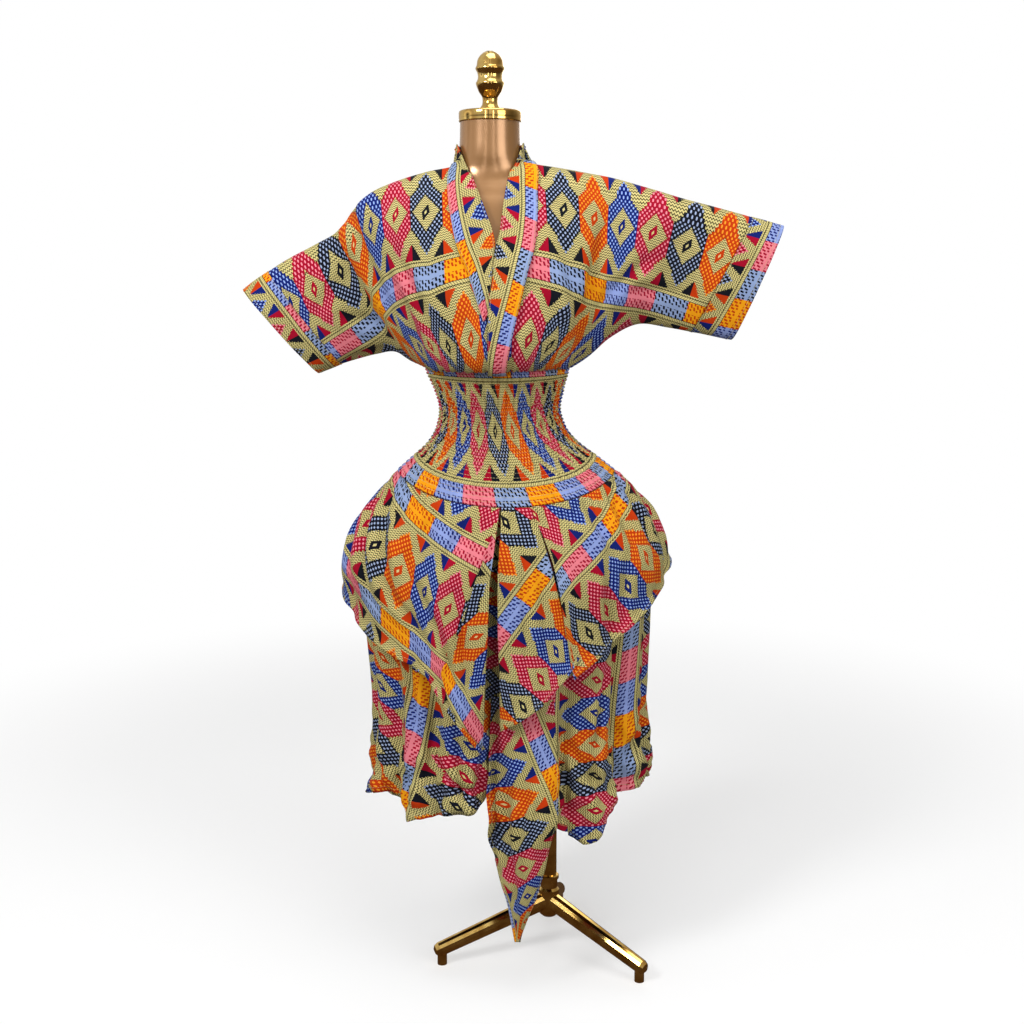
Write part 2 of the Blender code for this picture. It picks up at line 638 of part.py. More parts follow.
def cuff_row(lines):
    """The row at which the cuff is sewn on, a cuff's width before the end of the sleeve."""
    last = len(lines) - 1
    end, before = np.array(lines[last]), np.array(lines[last - 1])
    step = np.linalg.norm((end - before)[[0, 2]])
    return last - CUFF_WIDTH / step


def front_piece(name, lines, finish, home, columns=18, rows=13):
    """One front with its sleeve, from under the neck band to the cuff."""
    end = cuff_row(lines) - 0.004
    grid = []
    for i in range(rows):
        share = i / (rows - 1)
        inner = inner_row(share)
        grid.append([bodice_point(lines, inner + (end - inner) * j / (columns - 1), share, False)
                     for j in range(columns)])
    return cloth_piece(name, grid, finish, home, flip=lines is LEFT_LINES, seams=True)


def back_piece(finish, home, columns=17, rows=13):
    """The back, in one from cuff to cuff."""
    grid = []
    for i in range(rows):
        share = i / (rows - 1)
        left_end, right_end = cuff_row(LEFT_LINES) - 0.004, cuff_row(RIGHT_LINES) - 0.004
        left = [bodice_point(LEFT_LINES, left_end * j / columns, share, True) for j in range(columns, 0, -1)]
        right = [bodice_point(RIGHT_LINES, right_end * j / columns, share, True) for j in range(columns + 1)]
        grid.append(left + right)
    return cloth_piece("bodice_back", grid, finish, home, flip=True, seams=True)


def cuff(name, lines, finish, home, half=11, rows=3):
    """A band round the end of a sleeve."""
    start, end = cuff_row(lines) + 0.004, len(lines) - 1.0
    grid = []
    for i in range(rows):
        row = start + (end - start) * i / (rows - 1)
        front = [bodice_point(lines, row, j / half, False) for j in range(half + 1)]
        back = [bodice_point(lines, row, j / half, True) for j in range(half - 1, 0, -1)]
        grid.append(front + back)
    left = lines is LEFT_LINES
    return cloth_piece(name, grid, finish, home, closed=True, flip=not left, thickness=0.0022)


def band_rows(table, rows):
    """Pairs of edge points down one band, lying on the bodice."""
    pairs = []
    for i in range(rows):
        edge = Edge(*smooth_rows(table, (len(table) - 1) * i / (rows - 1)))
        pairs.append(((edge.inner_x, edge.inner_z), (edge.outer_x, edge.outer_z)))
    return pairs


def band_skin(x, z):
    """The y that a band lies over: the bodice's front, or the form where the bodice stops short of it."""
    s = section_at(FORM, max(z, FORM[-1].height))
    apart = (x - s.centre_x) / (s.half_width + FORM_CLEARANCE)
    form = -(s.front + FORM_CLEARANCE) * math.sqrt(max(1 - apart**2, 0.0))
    return min(front_depth(x, z), form)


def neck_band(name, table, finish, home, on_top=False, rows=15, columns=4):
    step = 0.001
    grid = []
    for (inner_x, inner_z), (outer_x, outer_z) in band_rows(table, rows):
        line = []
        for j in range(columns):
            across = j / (columns - 1)
            x = inner_x + (outer_x - inner_x) * across
            z = inner_z + (outer_z - inner_z) * across
            slope_x = (band_skin(x + step, z) - band_skin(x - step, z)) / (2 * step)
            slope_z = (band_skin(x, z + step) - band_skin(x, z - step)) / (2 * step)
            out = np.array([np.clip(slope_x, -0.8, 0.8), -1.0, np.clip(slope_z, -2.0, 1.2)])
            out /= np.linalg.norm(out)
            extra = (CLOTH + BAND_LIFT) * min(max((TOP_BAND_LIFTS - z) / 0.05, 0.0), 1.0) * on_top
            extra += SHOULDER_LIFT * min(max((z - 1.38) / 0.02, 0.0), 1.0)
            extra += BAND_LIFT * min(max((1.16 - z) / 0.03, 0.0), 1.0)
            line.append(tuple(np.array([x, band_skin(x, z), z]) + out * (BAND_LIFT + CLOTH + extra)))
        grid.append(line)
    return cloth_piece(name, grid, finish, home, flip=table is LEFT_BAND)


def collar_band(finish, home, rows=19):
    """The part of the band that stands round the back of the neck."""
    grid = []
    last = len(COLLAR) - 1
    angles = np.unwrap(np.radians([row.angle for row in COLLAR]))
    for i in range(rows):
        at = last * i / (rows - 1)
        row = CollarRow(*smooth_rows(COLLAR, at))
        turn = float(np.interp(at, range(last + 1), angles))
        line = []
        for radius, height in ((row.upper_radius, row.upper_z), (row.lower_radius, row.lower_z)):
            line.append((NECK_X + radius * math.sin(turn), -radius * math.cos(turn), height))
        grid.append(line)
    return cloth_piece("collar_band", grid, finish, home, flip=True)


def stand_base(finish, home):
    """The hub, the three sloping legs and their feet, cast in one."""
    hub = turned_piece("stand_base", HUB, POLE_X, finish, home, sides=24)
    cutters = bpy.data.collections.new("cutters")
    bpy.context.scene.collection.children.link(cutters)
    for n, angle in enumerate(LEG_ANGLES):
        turn = math.radians(angle)
        out = np.array([math.cos(turn), math.sin(turn), 0.0])
        side = np.array([-math.sin(turn), math.cos(turn), 0.0])
        up = np.array([0.0, 0.0, 1.0])
        start = np.array([POLE_X, 0.0, LEG_ROOT_HEIGHT]) + out * 0.004
        end = np.array([POLE_X, 0.0, LEG_END_HEIGHT]) + out * LEG_REACH
        along = (end - start) / np.linalg.norm(end - start)
        over = np.cross(side, along) * -1
        stations = ((0.0, 1.0), (0.5, 0.88), (0.955, 0.78), (0.985, 0.62), (1.0, 0.30))
        sides = 14
        points = []
        for share, size in stations:
            radius = LEG_ROOT_RADIUS * size
            centre = start + (end - start) * share
            for k in range(sides):
                a = 2 * math.pi * k / sides
                points.append(tuple(centre + side * radius * math.cos(a) + over * radius * 1.12 * math.sin(a)))
        faces = sheet_faces(len(stations), sides, True, False)
        faces.append(tuple(range(sides)))
        faces.append(tuple((len(stations) - 1) * sides + k for k in reversed(range(sides))))
        leg = new_object(f"leg_{n + 1}", points, faces, finish, cutters)
        foot_mesh = bmesh.new()
        bmesh.ops.create_cone(
            foot_mesh, cap_ends=True, segments=16, radius1=FOOT_RADIUS, radius2=FOOT_RADIUS, depth=FOOT_HEIGHT,
        )
        mesh = bpy.data.meshes.new(f"foot_{n + 1}")
        foot_mesh.to_mesh(mesh)
        foot_mesh.free()
        mesh.materials.append(finish)
        foot = bpy.data.objects.new(f"foot_{n + 1}", mesh)
        foot.location = tuple(
            np.array([POLE_X, 0.0, FLOOR]) + out * (LEG_REACH - 0.014) + up * FOOT_HEIGHT / 2
        )
        cutters.objects.link(foot)
        for piece in (leg, foot):
            bm = bmesh.new()
            bm.from_mesh(piece.data)
            bmesh.ops.recalc_face_normals(bm, faces=bm.faces)
            bm.to_mesh(piece.data)
            bm.free()
            piece.hide_render = True
            piece.display_type = "WIRE"
            join = hub.modifiers.new(f"join_{piece.name}", "BOOLEAN")
            join.operation = "UNION"
            join.object = piece
    return hub


def pole(finish, home):
    foot, top = HUB_TOP + SEAM, FORM_FOOT - SEAM
    bpy.ops.mesh.primitive_cylinder_add(
        vertices=24, radius=POLE_RADIUS, depth=top - foot, location=(POLE_X, 0.0, (top + foot) / 2),
    )
    thing = bpy.context.object
    thing.name = thing.data.name = "stand_pole"
    thing.data.materials.append(finish)
    for old in list(thing.users_collection):
        old.objects.unlink(thing)
    home.objects.link(thing)
    return thing


def neck_cap(finish, home):
    low, top = FORM_TOP + SEAM, FORM_TOP + SEAM + CAP_HEIGHT
    profile = [
        TurnPoint(low, 0.0), TurnPoint(low, CAP_RADIUS), TurnPoint(top - 0.003, CAP_RADIUS),
        TurnPoint(top - 0.0009, CAP_RADIUS - 0.0009), TurnPoint(top, CAP_RADIUS - 0.003), TurnPoint(top, 0.0),
    ]
    return turned_piece("neck_cap", profile, NECK_X, finish, home)


def centre_all(home):
    """Moves everything so that the origin is at the bottom centre of the whole."""
    bpy.context.view_layer.update()
    graph = bpy.context.evaluated_depsgraph_get()
    corners = []
    for thing in home.objects:
        shown = thing.evaluated_get(graph)
        corners += [shown.matrix_world @ v.co for v in shown.data.vertices]
    xs, ys = [c.x for c in corners], [c.y for c in corners]
    middle = ((min(xs) + max(xs)) / 2, (min(ys) + max(ys)) / 2)
    for thing in bpy.data.objects:
        thing.location.x -= middle[0]
        thing.location.y -= middle[1]
        thing.location.z -= FLOOR
    print("moved by", middle)


def main():
    clear_scene()
    home = bpy.data.collections.new("handkerchief_dress")
    bpy.context.scene.collection.children.link(home)
    print_cloth = finish_material("printed_cotton", (0.55, 0.46, 0.26), 0.8)
    bronze = finish_material("form_bronze", (0.32, 0.17, 0.08), 0.3)
    brass = finish_material("polished_brass", (0.80, 0.58, 0.22), 0.12, 1.0)
    dress_form(bronze, home)
    neck_cap(brass, home)
    turned_piece("finial", FINIAL, NECK_X, brass, home, sides=22)
    pole(brass, home)
    stand_base(brass, home)
    waist_panel(print_cloth, home)
    front_piece("bodice_front_left", LEFT_LINES, print_cloth, home)
    front_piece("bodice_front_right", RIGHT_LINES, print_cloth, home)
    back_piece(print_cloth, home)
    cuff("cuff_left", LEFT_LINES, print_cloth, home)
    cuff("cuff_right", RIGHT_LINES, print_cloth, home)
    neck_band("neck_band_left", LEFT_BAND, print_cloth, home)
    neck_band("neck_band_right", RIGHT_BAND, print_cloth, home, on_top=True)
    collar_band(print_cloth, home)
    underskirt(print_cloth, home)
    overskirts(print_cloth, home)
    front_point(print_cloth, home)
    centre_all(home)


main()
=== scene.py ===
"""Handkerchief dress on a dress form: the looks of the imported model, in metres, the front faces -Y."""

import math
from collections import namedtuple

import bpy
import numpy as np
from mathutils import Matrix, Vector, noise


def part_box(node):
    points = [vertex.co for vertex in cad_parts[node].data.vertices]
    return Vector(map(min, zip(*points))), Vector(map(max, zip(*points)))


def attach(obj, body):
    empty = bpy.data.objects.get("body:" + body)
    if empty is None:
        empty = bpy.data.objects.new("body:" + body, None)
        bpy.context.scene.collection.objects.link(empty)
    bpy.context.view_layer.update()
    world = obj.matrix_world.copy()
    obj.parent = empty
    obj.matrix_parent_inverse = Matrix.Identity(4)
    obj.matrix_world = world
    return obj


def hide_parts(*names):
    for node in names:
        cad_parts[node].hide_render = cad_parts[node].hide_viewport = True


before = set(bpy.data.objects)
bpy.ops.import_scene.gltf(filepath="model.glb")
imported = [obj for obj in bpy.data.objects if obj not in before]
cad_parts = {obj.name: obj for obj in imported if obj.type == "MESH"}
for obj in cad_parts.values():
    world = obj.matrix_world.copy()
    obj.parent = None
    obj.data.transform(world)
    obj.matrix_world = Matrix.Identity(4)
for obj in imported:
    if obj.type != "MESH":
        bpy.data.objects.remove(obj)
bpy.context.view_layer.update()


# Camera: level with the waist, a little above it and tipped down, as the photo was taken. The tables in
# this file are laid out from the camera's own axis, and each piece is moved from there into the frame.
CAMERA_HEIGHT = 1.23
CAMERA_AWAY = 2.55
CAMERA_TIP = 8.75
LENS = 52.1
low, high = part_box("neck_cap")
NECK_X = -0.0365
CAP_TOP = 1.5158
MOVE = np.array([(low[0] + high[0]) / 2 - NECK_X, (low[1] + high[1]) / 2, high[2] - CAP_TOP])

camera_data = bpy.data.cameras.new("camera")
camera_data.lens = LENS
camera_data.sensor_width = 36.0
camera = bpy.data.objects.new("camera", camera_data)
camera.location = (MOVE[0], MOVE[1] - CAMERA_AWAY, MOVE[2] + CAMERA_HEIGHT)
camera.rotation_euler = (math.radians(90.0 - CAMERA_TIP), 0.0, 0.0)
bpy.context.scene.collection.objects.link(camera)
bpy.context.scene.camera = camera
bpy.context.scene.view_settings.view_transform = "Standard"


# Floor and light: a plain pale floor, a wide soft light from the front on each side, one from above
# and a weak one behind, so that the cloth's folds are shaded softly. What polished pieces mirror is a
# room of a few bright and dark upright panels.
FLOOR_FADE = (0.3, 1.9)
FLOOR_MIRRORED = (0.085, 0.050, 0.028, 1.0)
FLOOR_BOUNCE = (0.16, 0.16, 0.16, 1.0)
SKY_STRENGTH = 0.48
WHITE = (1.0, 1.0, 1.0, 1.0)
PANELS = (
    (0.000, 0.06), (0.012, 1.10), (0.040, 0.62), (0.330, 0.58), (0.410, 1.00),
    (0.452, 0.05), (0.490, 1.00), (0.560, 0.62), (0.860, 0.50), (1.000, 0.16),
)
LIGHTS_AIM = Vector((0.0, 0.0, 0.95))


def linear(red, green, blue):
    """A colour as a paint chart gives it, 0 to 255, in linear light."""
    out = []
    for part in (red, green, blue):
        part /= 255.0
        out.append(part / 12.92 if part <= 0.04045 else ((part + 0.055) / 1.055) ** 2.4)
    return (*out, 1.0)


def new_material(name):
    made = bpy.data.materials.new(name)
    made.use_nodes = True
    return made, made.node_tree, made.node_tree.nodes["Principled BSDF"]


def put(node, feed):
    """Sets each input that feed names to a value, or links it to a socket."""
    for key, value in feed.items():
        if isinstance(value, bpy.types.NodeSocket):
            tree.links.new(value, node.inputs[key])
        else:
            node.inputs[key].default_value = value


def shade_node(kind, feed=None, **settings):
    """A new node of the material in hand, with its settings made before its inputs."""
    node = tree.nodes.new("ShaderNode" + kind)
    for key, value in settings.items():
        setattr(node, key, value)
    put(node, feed or {})
    return node


def mixed(share, first, second):
    """The first shader where share is 0 and the second where it is 1."""
    return shade_node("MixShader", {"Fac": share, 1: first, 2: second}).outputs["Shader"]


def colour_ramp(factor, stops, interpolation="LINEAR"):
    ramp = shade_node("ValToRGB", {"Fac": factor})
    ramp.color_ramp.interpolation = interpolation
    while len(ramp.color_ramp.elements) < len(stops):
        ramp.color_ramp.elements.new(0.5)
    for k, (place, colour) in enumerate(stops):
        ramp.color_ramp.elements[k].position = place
        ramp.color_ramp.elements[k].color = colour
    return ramp.outputs["Color"]


floor_material, tree, shader = new_material("floor_paint")
put(shader, {"Base Color": linear(250, 250, 250), "Roughness": 0.9})
bpy.ops.mesh.primitive_plane_add(size=14.0, location=(0.0, 1.0, 0.0))
floor = bpy.context.object
floor.name = "floor"
floor.data.materials.append(floor_material)
length = shade_node("VectorMath", {0: shade_node("TexCoord").outputs["Object"]}, operation="LENGTH")
fade = shade_node(
    "MapRange",
    {"Value": length.outputs["Value"], "From Min": FLOOR_FADE[0], "From Max": FLOOR_FADE[1]},
    interpolation_type="SMOOTHSTEP",
)
glow, dim, bounce = (
    shade_node("Emission", {"Color": colour}).outputs["Emission"]
    for colour in (WHITE, FLOOR_MIRRORED, FLOOR_BOUNCE)
)
seen_by = shade_node("LightPath")
surface = mixed(fade.outputs["Result"], shader.outputs["BSDF"], glow)
surface = mixed(seen_by.outputs["Is Glossy Ray"], surface, dim)
surface = mixed(seen_by.outputs["Is Diffuse Ray"], surface, bounce)
put(tree.nodes["Material Output"], {"Surface": surface})

world = bpy.data.worlds.new("studio") if bpy.context.scene.world is None else bpy.context.scene.world
bpy.context.scene.world = world
world.use_nodes = True
tree = world.node_tree
sky = tree.nodes["Background"]
put(sky, {"Color": WHITE, "Strength": SKY_STRENGTH})
wall = shade_node("Background", {"Color": WHITE, "Strength": 1.0})
axes = shade_node("SeparateXYZ", {"Vector": shade_node("TexCoord").outputs["Generated"]})
sideways = shade_node("MapRange", {"Value": axes.outputs["X"], "From Min": -1.0})
panels = colour_ramp(
    sideways.outputs["Result"],
    [(place, (bright, bright * 0.97, bright * 0.92, 1.0)) for place, bright in PANELS],
)
above = shade_node(
    "MapRange",
    {"Value": axes.outputs["Z"], "From Min": -0.30, "From Max": 0.02, "To Min": 0.06},
    interpolation_type="SMOOTHSTEP",
)
shade = shade_node("VectorMath", {0: panels, "Scale": above.outputs["Result"]}, operation="SCALE")
room = shade_node("Background", {"Color": shade.outputs["Vector"], "Strength": 1.0})
seen_by = shade_node("LightPath")
choose = mixed(seen_by.outputs["Is Glossy Ray"], sky.outputs["Background"], room.outputs["Background"])
backdrop = mixed(seen_by.outputs["Is Camera Ray"], choose, wall.outputs["Background"])
put(tree.nodes["World Output"], {"Surface": backdrop})

Softbox = namedtuple("Softbox", "name x y z width tall power")
for box in (
    Softbox("key_light", -1.8, -2.1, 2.6, 0.9, 0.9, 54.0),
    Softbox("fill_light", 2.0, -2.2, 1.7, 1.5, 1.5, 25.0),
    Softbox("top_light", 0.2, -0.4, 3.0, 1.4, 1.4, 20.0),
    Softbox("back_light", 0.6, 2.4, 2.0, 1.4, 1.4, 12.0),
    Softbox("strip_left", -0.75, -2.5, 1.5, 0.10, 1.6, 3.0),
    Softbox("strip_right", 0.55, -2.6, 1.5, 0.12, 1.6, 3.5),
):
    light = bpy.data.lights.new(box.name, "AREA")
    light.shape = "RECTANGLE"
    light.size = box.width
    light.size_y = box.tall
    light.energy = box.power
    lamp = bpy.data.objects.new(box.name, light)
    lamp.location = (box.x, box.y, box.z)
    aim = LIGHTS_AIM - lamp.location
    lamp.rotation_euler = aim.to_track_quat("-Z", "Y").to_euler()
    bpy.context.scene.collection.objects.link(lamp)


# Stand: a brass pole, a turned finial and cap, and a hub cast with three tapering legs, all polished,
# with a slight tarnish. The cast hub and the pole are the frame's own, with this brass on them.
brass, tree, shader = new_material("polished_brass")
place = shade_node("TexCoord").outputs["Object"]
tarnish = shade_node("TexNoise", {"Vector": place, "Scale": 35.0, "Detail": 4.0}).outputs["Fac"]
tone = colour_ramp(tarnish, [(0.35, linear(196, 150, 74)), (0.65, linear(240, 206, 126))])
gloss = shade_node("MapRange", {"Value": tarnish, "To Min": 0.06, "To Max": 0.14})
put(shader, {"Base Color": tone, "Roughness": gloss.outputs["Result"], "Metallic": 1.0})

TurnPoint = namedtuple("TurnPoint", "height radius")
FINIAL = [TurnPoint(*row) for row in (
    (1.5161, 0.0), (1.5161, 0.0174), (1.5172, 0.018), (1.519, 0.0178), (1.5224, 0.0155), (1.5256, 0.0135),
    (1.531, 0.0126), (1.5368, 0.013), (1.54, 0.0145), (1.5464, 0.019), (1.5544, 0.0222), (1.559, 0.0238),
    (1.5612, 0.0238), (1.563, 0.0226), (1.5672, 0.0206), (1.572, 0.0202), (1.5775, 0.0213),
    (1.5825, 0.0242), (1.5848, 0.0246), (1.5868, 0.0234), (1.59, 0.0223), (1.596, 0.0216), (1.6007, 0.0198),
    (1.6055, 0.0164), (1.6095, 0.0117), (1.6122, 0.0064), (1.6133, 0.0),
)]
CAP = [TurnPoint(*row) for row in (
    (1.4973, 0.0), (1.4973, 0.0516), (1.498, 0.0525), (1.4992, 0.0527), (1.502, 0.0522), (1.5034, 0.0527),
    (1.512, 0.0527), (1.5144, 0.052), (1.5155, 0.05), (1.5158, 0.046), (1.5158, 0.0),
)]
CRISP_TURNING = 50.0
CRISP_FORM = 60.0


def mesh_object(name, points, faces, material):
    """A new object at the origin from points in the tables' own layout."""
    mesh = bpy.data.meshes.new(name)
    mesh.from_pydata((np.asarray(points, float) + MOVE).tolist(), [], faces)
    mesh.materials.append(material)
    mesh.shade_smooth()
    made = bpy.data.objects.new(name, mesh)
    bpy.context.scene.collection.objects.link(made)
    return made


def crisp(piece, degrees):
    """Splits the shading at edges sharper than this."""
    piece.modifiers.new("crisp", "EDGE_SPLIT").split_angle = math.radians(degrees)


def turned(name, profile, centre_x, material, sides=72):
    """A turned piece: a profile, from the foot up, run round a vertical axis."""
    rings = profile[1:-1]
    points = [(centre_x, 0.0, profile[0].height)]
    for ring in rings:
        for k in range(sides):
            turn = 2 * math.pi * k / sides
            x = centre_x + ring.radius * math.cos(turn)
            points.append((x, ring.radius * math.sin(turn), ring.height))
    points.append((centre_x, 0.0, profile[-1].height))
    faces = []
    for k in range(sides):
        n = (k + 1) % sides
        faces.append((0, 1 + n, 1 + k))
        for i in range(len(rings) - 1):
            a, b = 1 + i * sides, 1 + (i + 1) * sides
            faces.append((a + k, a + n, b + n, b + k))
        last = 1 + (len(rings) - 1) * sides
        faces.append((last + k, last + n, len(points) - 1))
    return mesh_object(name, points, faces, material)


for name, profile, node in (("turned_finial", FINIAL, "finial"), ("turned_cap", CAP, "neck_cap")):
    piece = turned(name, profile, NECK_X, brass)
    crisp(piece, CRISP_TURNING)
    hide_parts(node)
    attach(piece, "root")
for node in ("stand_pole", "stand_base"):
    part = bpy.data.objects[node]
    part.data.materials.clear()
    part.data.materials.append(brass)


# Dress form: a limbless display torso, moulded in glossy bronze-brown plastic. It is one smooth
# body, whose waist lies just inside the shirred panel that it fills.
Section = namedtuple("Section", "height centre_x half_width front back")
FORM = [Section(*row) for row in (
    (1.497, NECK_X, 0.0505, 0.05, 0.05), (1.47, NECK_X, 0.051, 0.0505, 0.05),
    (1.452, NECK_X, 0.052, 0.051, 0.05), (1.436, NECK_X, 0.0535, 0.0505, 0.0485),
    (1.422, NECK_X, 0.06, 0.048, 0.046), (1.408, -0.0365, 0.076, 0.049, 0.048),
    (1.39, -0.036, 0.108, 0.056, 0.047), (1.36, -0.035, 0.144, 0.068, 0.053),
    (1.315, -0.034, 0.166, 0.083, 0.064), (1.25, -0.031, 0.16, 0.102, 0.074),
    (1.19, -0.028, 0.145, 0.112, 0.082), (1.13, -0.026, 0.123, 0.098, 0.084),
    (1.086, -0.025, 0.115, 0.091, 0.085), (1.05, -0.022, 0.103, 0.081, 0.078),
    (1.018, -0.0207, 0.0965, 0.0755, 0.075), (0.985, -0.0185, 0.1045, 0.08, 0.082),
    (0.952, -0.014, 0.126, 0.092, 0.097), (0.91, -0.008, 0.145, 0.102, 0.112),
    (0.85, -0.002, 0.16, 0.108, 0.124), (0.78, 0.005, 0.164, 0.108, 0.126),
    (0.72, 0.01, 0.156, 0.101, 0.118), (0.7, 0.011, 0.148, 0.095, 0.111),
)]


def smooth_rows(table, at):
    """A table's columns at a fractional row number, on a smooth curve through its rows."""
    at = min(max(at, 0.0), len(table) - 1.0)
    first = min(int(at), len(table) - 2)
    share = at - first
    before, start, end, after = (
        np.asarray(table[min(max(first + k, 0), len(table) - 1)], float) for k in (-1, 0, 1, 2)
    )
    return 0.5 * (
        2 * start
        + (end - before) * share
        + (2 * before - 5 * start + 4 * end - after) * share**2
        + (3 * start - before - 3 * end + after) * share**3
    )


def section_at(table, height):
    """The section of a body at a height, on a smooth curve through the table."""
    heights = [-row.height for row in table]
    return Section(*smooth_rows(table, float(np.interp(-height, heights, np.arange(len(heights))))))


def round_point(table, angle, height, lift=0.0):
    """A point round the body at an angle, 0 in front and growing towards +X, moved out by lift."""
    section = section_at(table, height)
    turn = math.radians(angle)
    depth = section.front if math.cos(turn) >= 0 else section.back
    x = section.centre_x + (section.half_width + lift) * math.sin(turn)
    return (x, -(depth + lift) * math.cos(turn), height)


bronze, tree, shader = new_material("form_bronze")
place = shade_node("TexCoord").outputs["Object"]
cloud = shade_node("TexNoise", {"Vector": place, "Scale": 9.0})
tone = colour_ramp(cloud.outputs["Fac"], [(0.0, linear(146, 102, 58)), (1.0, linear(180, 132, 80))])
speck = shade_node("TexNoise", {"Vector": place, "Scale": 900.0})
bump = shade_node("Bump", {"Height": speck.outputs["Fac"], "Strength": 0.04, "Distance": 0.0004})
put(shader, {"Base Color": tone, "Normal": bump.outputs["Normal"], "Roughness": 0.24, "Metallic": 0.45})
put(shader, {"Coat Weight": 0.8, "Coat Roughness": 0.26})

RINGS, SIDES = 90, 96
form_heights = np.linspace(FORM[0].height, FORM[-1].height, RINGS)
form_points = [round_point(FORM, 360.0 * j / SIDES, z) for z in form_heights for j in range(SIDES)]
form_faces = [
    (i * SIDES + j, (i + 1) * SIDES + j, (i + 1) * SIDES + (j + 1) % SIDES, i * SIDES + (j + 1) % SIDES)
    for i in range(RINGS - 1) for j in range(SIDES)
]
form_faces.append(tuple(range(SIDES)))
form_faces.append(tuple((RINGS - 1) * SIDES + j for j in reversed(range(SIDES))))
torso = mesh_object("moulded_torso", form_points, form_faces, bronze)
crisp(torso, CRISP_FORM)
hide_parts("dress_form")
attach(torso, "root")


# Printed cotton: a plain-woven wax print. Its rows of stepped lozenges, in four colourways, alternate
# with a band of blocks between two cord-like rails. The pattern reads the cloth's own flat
# coordinates, in metres, and repeats every four lozenges and every row.
PITCH = 0.055
ROW = 0.213
RAIL = 0.007
BLOCK_END = 0.041
ZONE = 0.048
ZONE_MIDDLE = 0.1305
DOT_ACROSS = 0.0036
DOT_ALONG = 0.0049
INKS = {
    "dark": [linear(20, 22, 32), linear(202, 60, 12), linear(18, 34, 112), linear(170, 12, 44)],
    "light": [linear(164, 180, 216), linear(252, 164, 44), linear(150, 178, 240), linear(248, 148, 164)],
    "block": [linear(150, 170, 212), linear(252, 168, 22), linear(150, 168, 226), linear(242, 134, 146)],
}
KHAKI = linear(222, 208, 138)
OLIVE = linear(48, 41, 16)
RAIL_LINE = linear(58, 52, 34)
LOZENGE_HALF = (0.0448, 0.0715)
EYE_HALF = (0.0232, 0.0325)
EYE_STEPS = (0.0024, 0.0034)
PUPIL_HALF = (0.0068, 0.0150)
PUPIL_LEAN = 0.32
GLINT_HALF = (0.0020, 0.0044)
DOT_CUT = 0.36
TOOTH_GAP = 0.0035
TOOTH_STEP = 0.0042
TOOTH_HALF = 0.0150
TOOTH_TAPER = 0.60
TOOTH_END = 0.0275
TWILL_WAVE = 0.0024
TWILL_PITCH = 0.0041
TWILL_LINE = 0.0016
RAIL_EDGE = 0.0011
CORD_PITCH = 0.0042
CORD_LINE = 0.0012
CORD_STRENGTH = 0.8
DASH_ACROSS = 0.0058
DASH_ALONG = 0.0088
DASH_LENGTH = 0.72
DASH_HALF = 0.27
DASH_START = 0.30
DASH_LEAN = 0.42
BLOCK_CLEAR = 0.0030
WEAVE_PITCH = 0.0009

cotton, tree, shader = new_material("printed_cotton")


def sum_node(operation, *values):
    """One sum, such as "MULTIPLY" or "LESS_THAN", on sockets and numbers."""
    return shade_node("Math", dict(enumerate(values)), operation=operation).outputs[0]


def both(first, *rest):
    for other in rest:
        first = sum_node("MULTIPLY", first, other)
    return first


def over(below, cover, share):
    """One colour over another where share is 1."""
    return shade_node("Mix", {0: share, 6: below, 7: cover}, data_type="RGBA").outputs[2]


def ink(which):
    """The ink of this name in each place's own colourway."""
    return colour_ramp(cell_share, [(0.25 * k, colour) for k, colour in enumerate(INKS[which])], "CONSTANT")


def distance(value, middle=0.0):
    return sum_node("ABSOLUTE", sum_node("SUBTRACT", value, middle))


flat_map = shade_node("UVMap", uv_map="flat_cloth")
apart = shade_node("SeparateXYZ", {"Vector": flat_map.outputs["UV"]})
u, v = apart.outputs["X"], apart.outputs["Y"]
cell_number = sum_node("FLOOR", sum_node("DIVIDE", u, PITCH))
cell_share = sum_node("DIVIDE", sum_node("ADD", sum_node("FLOORED_MODULO", cell_number, 4.0), 0.5), 4.0)
dark, light, blocks = ink("dark"), ink("light"), ink("block")
from_middle = sum_node("SUBTRACT", u, sum_node("MULTIPLY", sum_node("ADD", cell_number, 0.5), PITCH))
row_place = sum_node("FLOORED_MODULO", v, ROW)
from_centre = sum_node("SUBTRACT", row_place, ZONE_MIDDLE)
across_abs = distance(from_middle)
along_abs = distance(from_centre)


def stepped(value, step):
    """A distance rounded to whole steps, as the print's stair edges are."""
    return sum_node("MULTIPLY", sum_node("ROUND", sum_node("DIVIDE", value, step)), step)


def inside_lozenge(across, along, half):
    reach = sum_node("ADD", sum_node("DIVIDE", across, half[0]), sum_node("DIVIDE", along, half[1]))
    return sum_node("LESS_THAN", reach, 1.0)


lozenge = inside_lozenge(stepped(across_abs, DOT_ACROSS), stepped(along_abs, DOT_ALONG), LOZENGE_HALF)
checks = both(
    sum_node("COSINE", sum_node("MULTIPLY", from_middle, math.pi / DOT_ACROSS)),
    sum_node("COSINE", sum_node("MULTIPLY", from_centre, math.pi / DOT_ALONG)),
)
light_dot = sum_node("GREATER_THAN", checks, DOT_CUT)
eye = inside_lozenge(stepped(across_abs, EYE_STEPS[0]), stepped(along_abs, EYE_STEPS[1]), EYE_HALF)
leaning = distance(sum_node("ADD", from_middle, sum_node("MULTIPLY", from_centre, PUPIL_LEAN)))
pupil = inside_lozenge(leaning, along_abs, PUPIL_HALF)
glint = inside_lozenge(leaning, along_abs, GLINT_HALF)

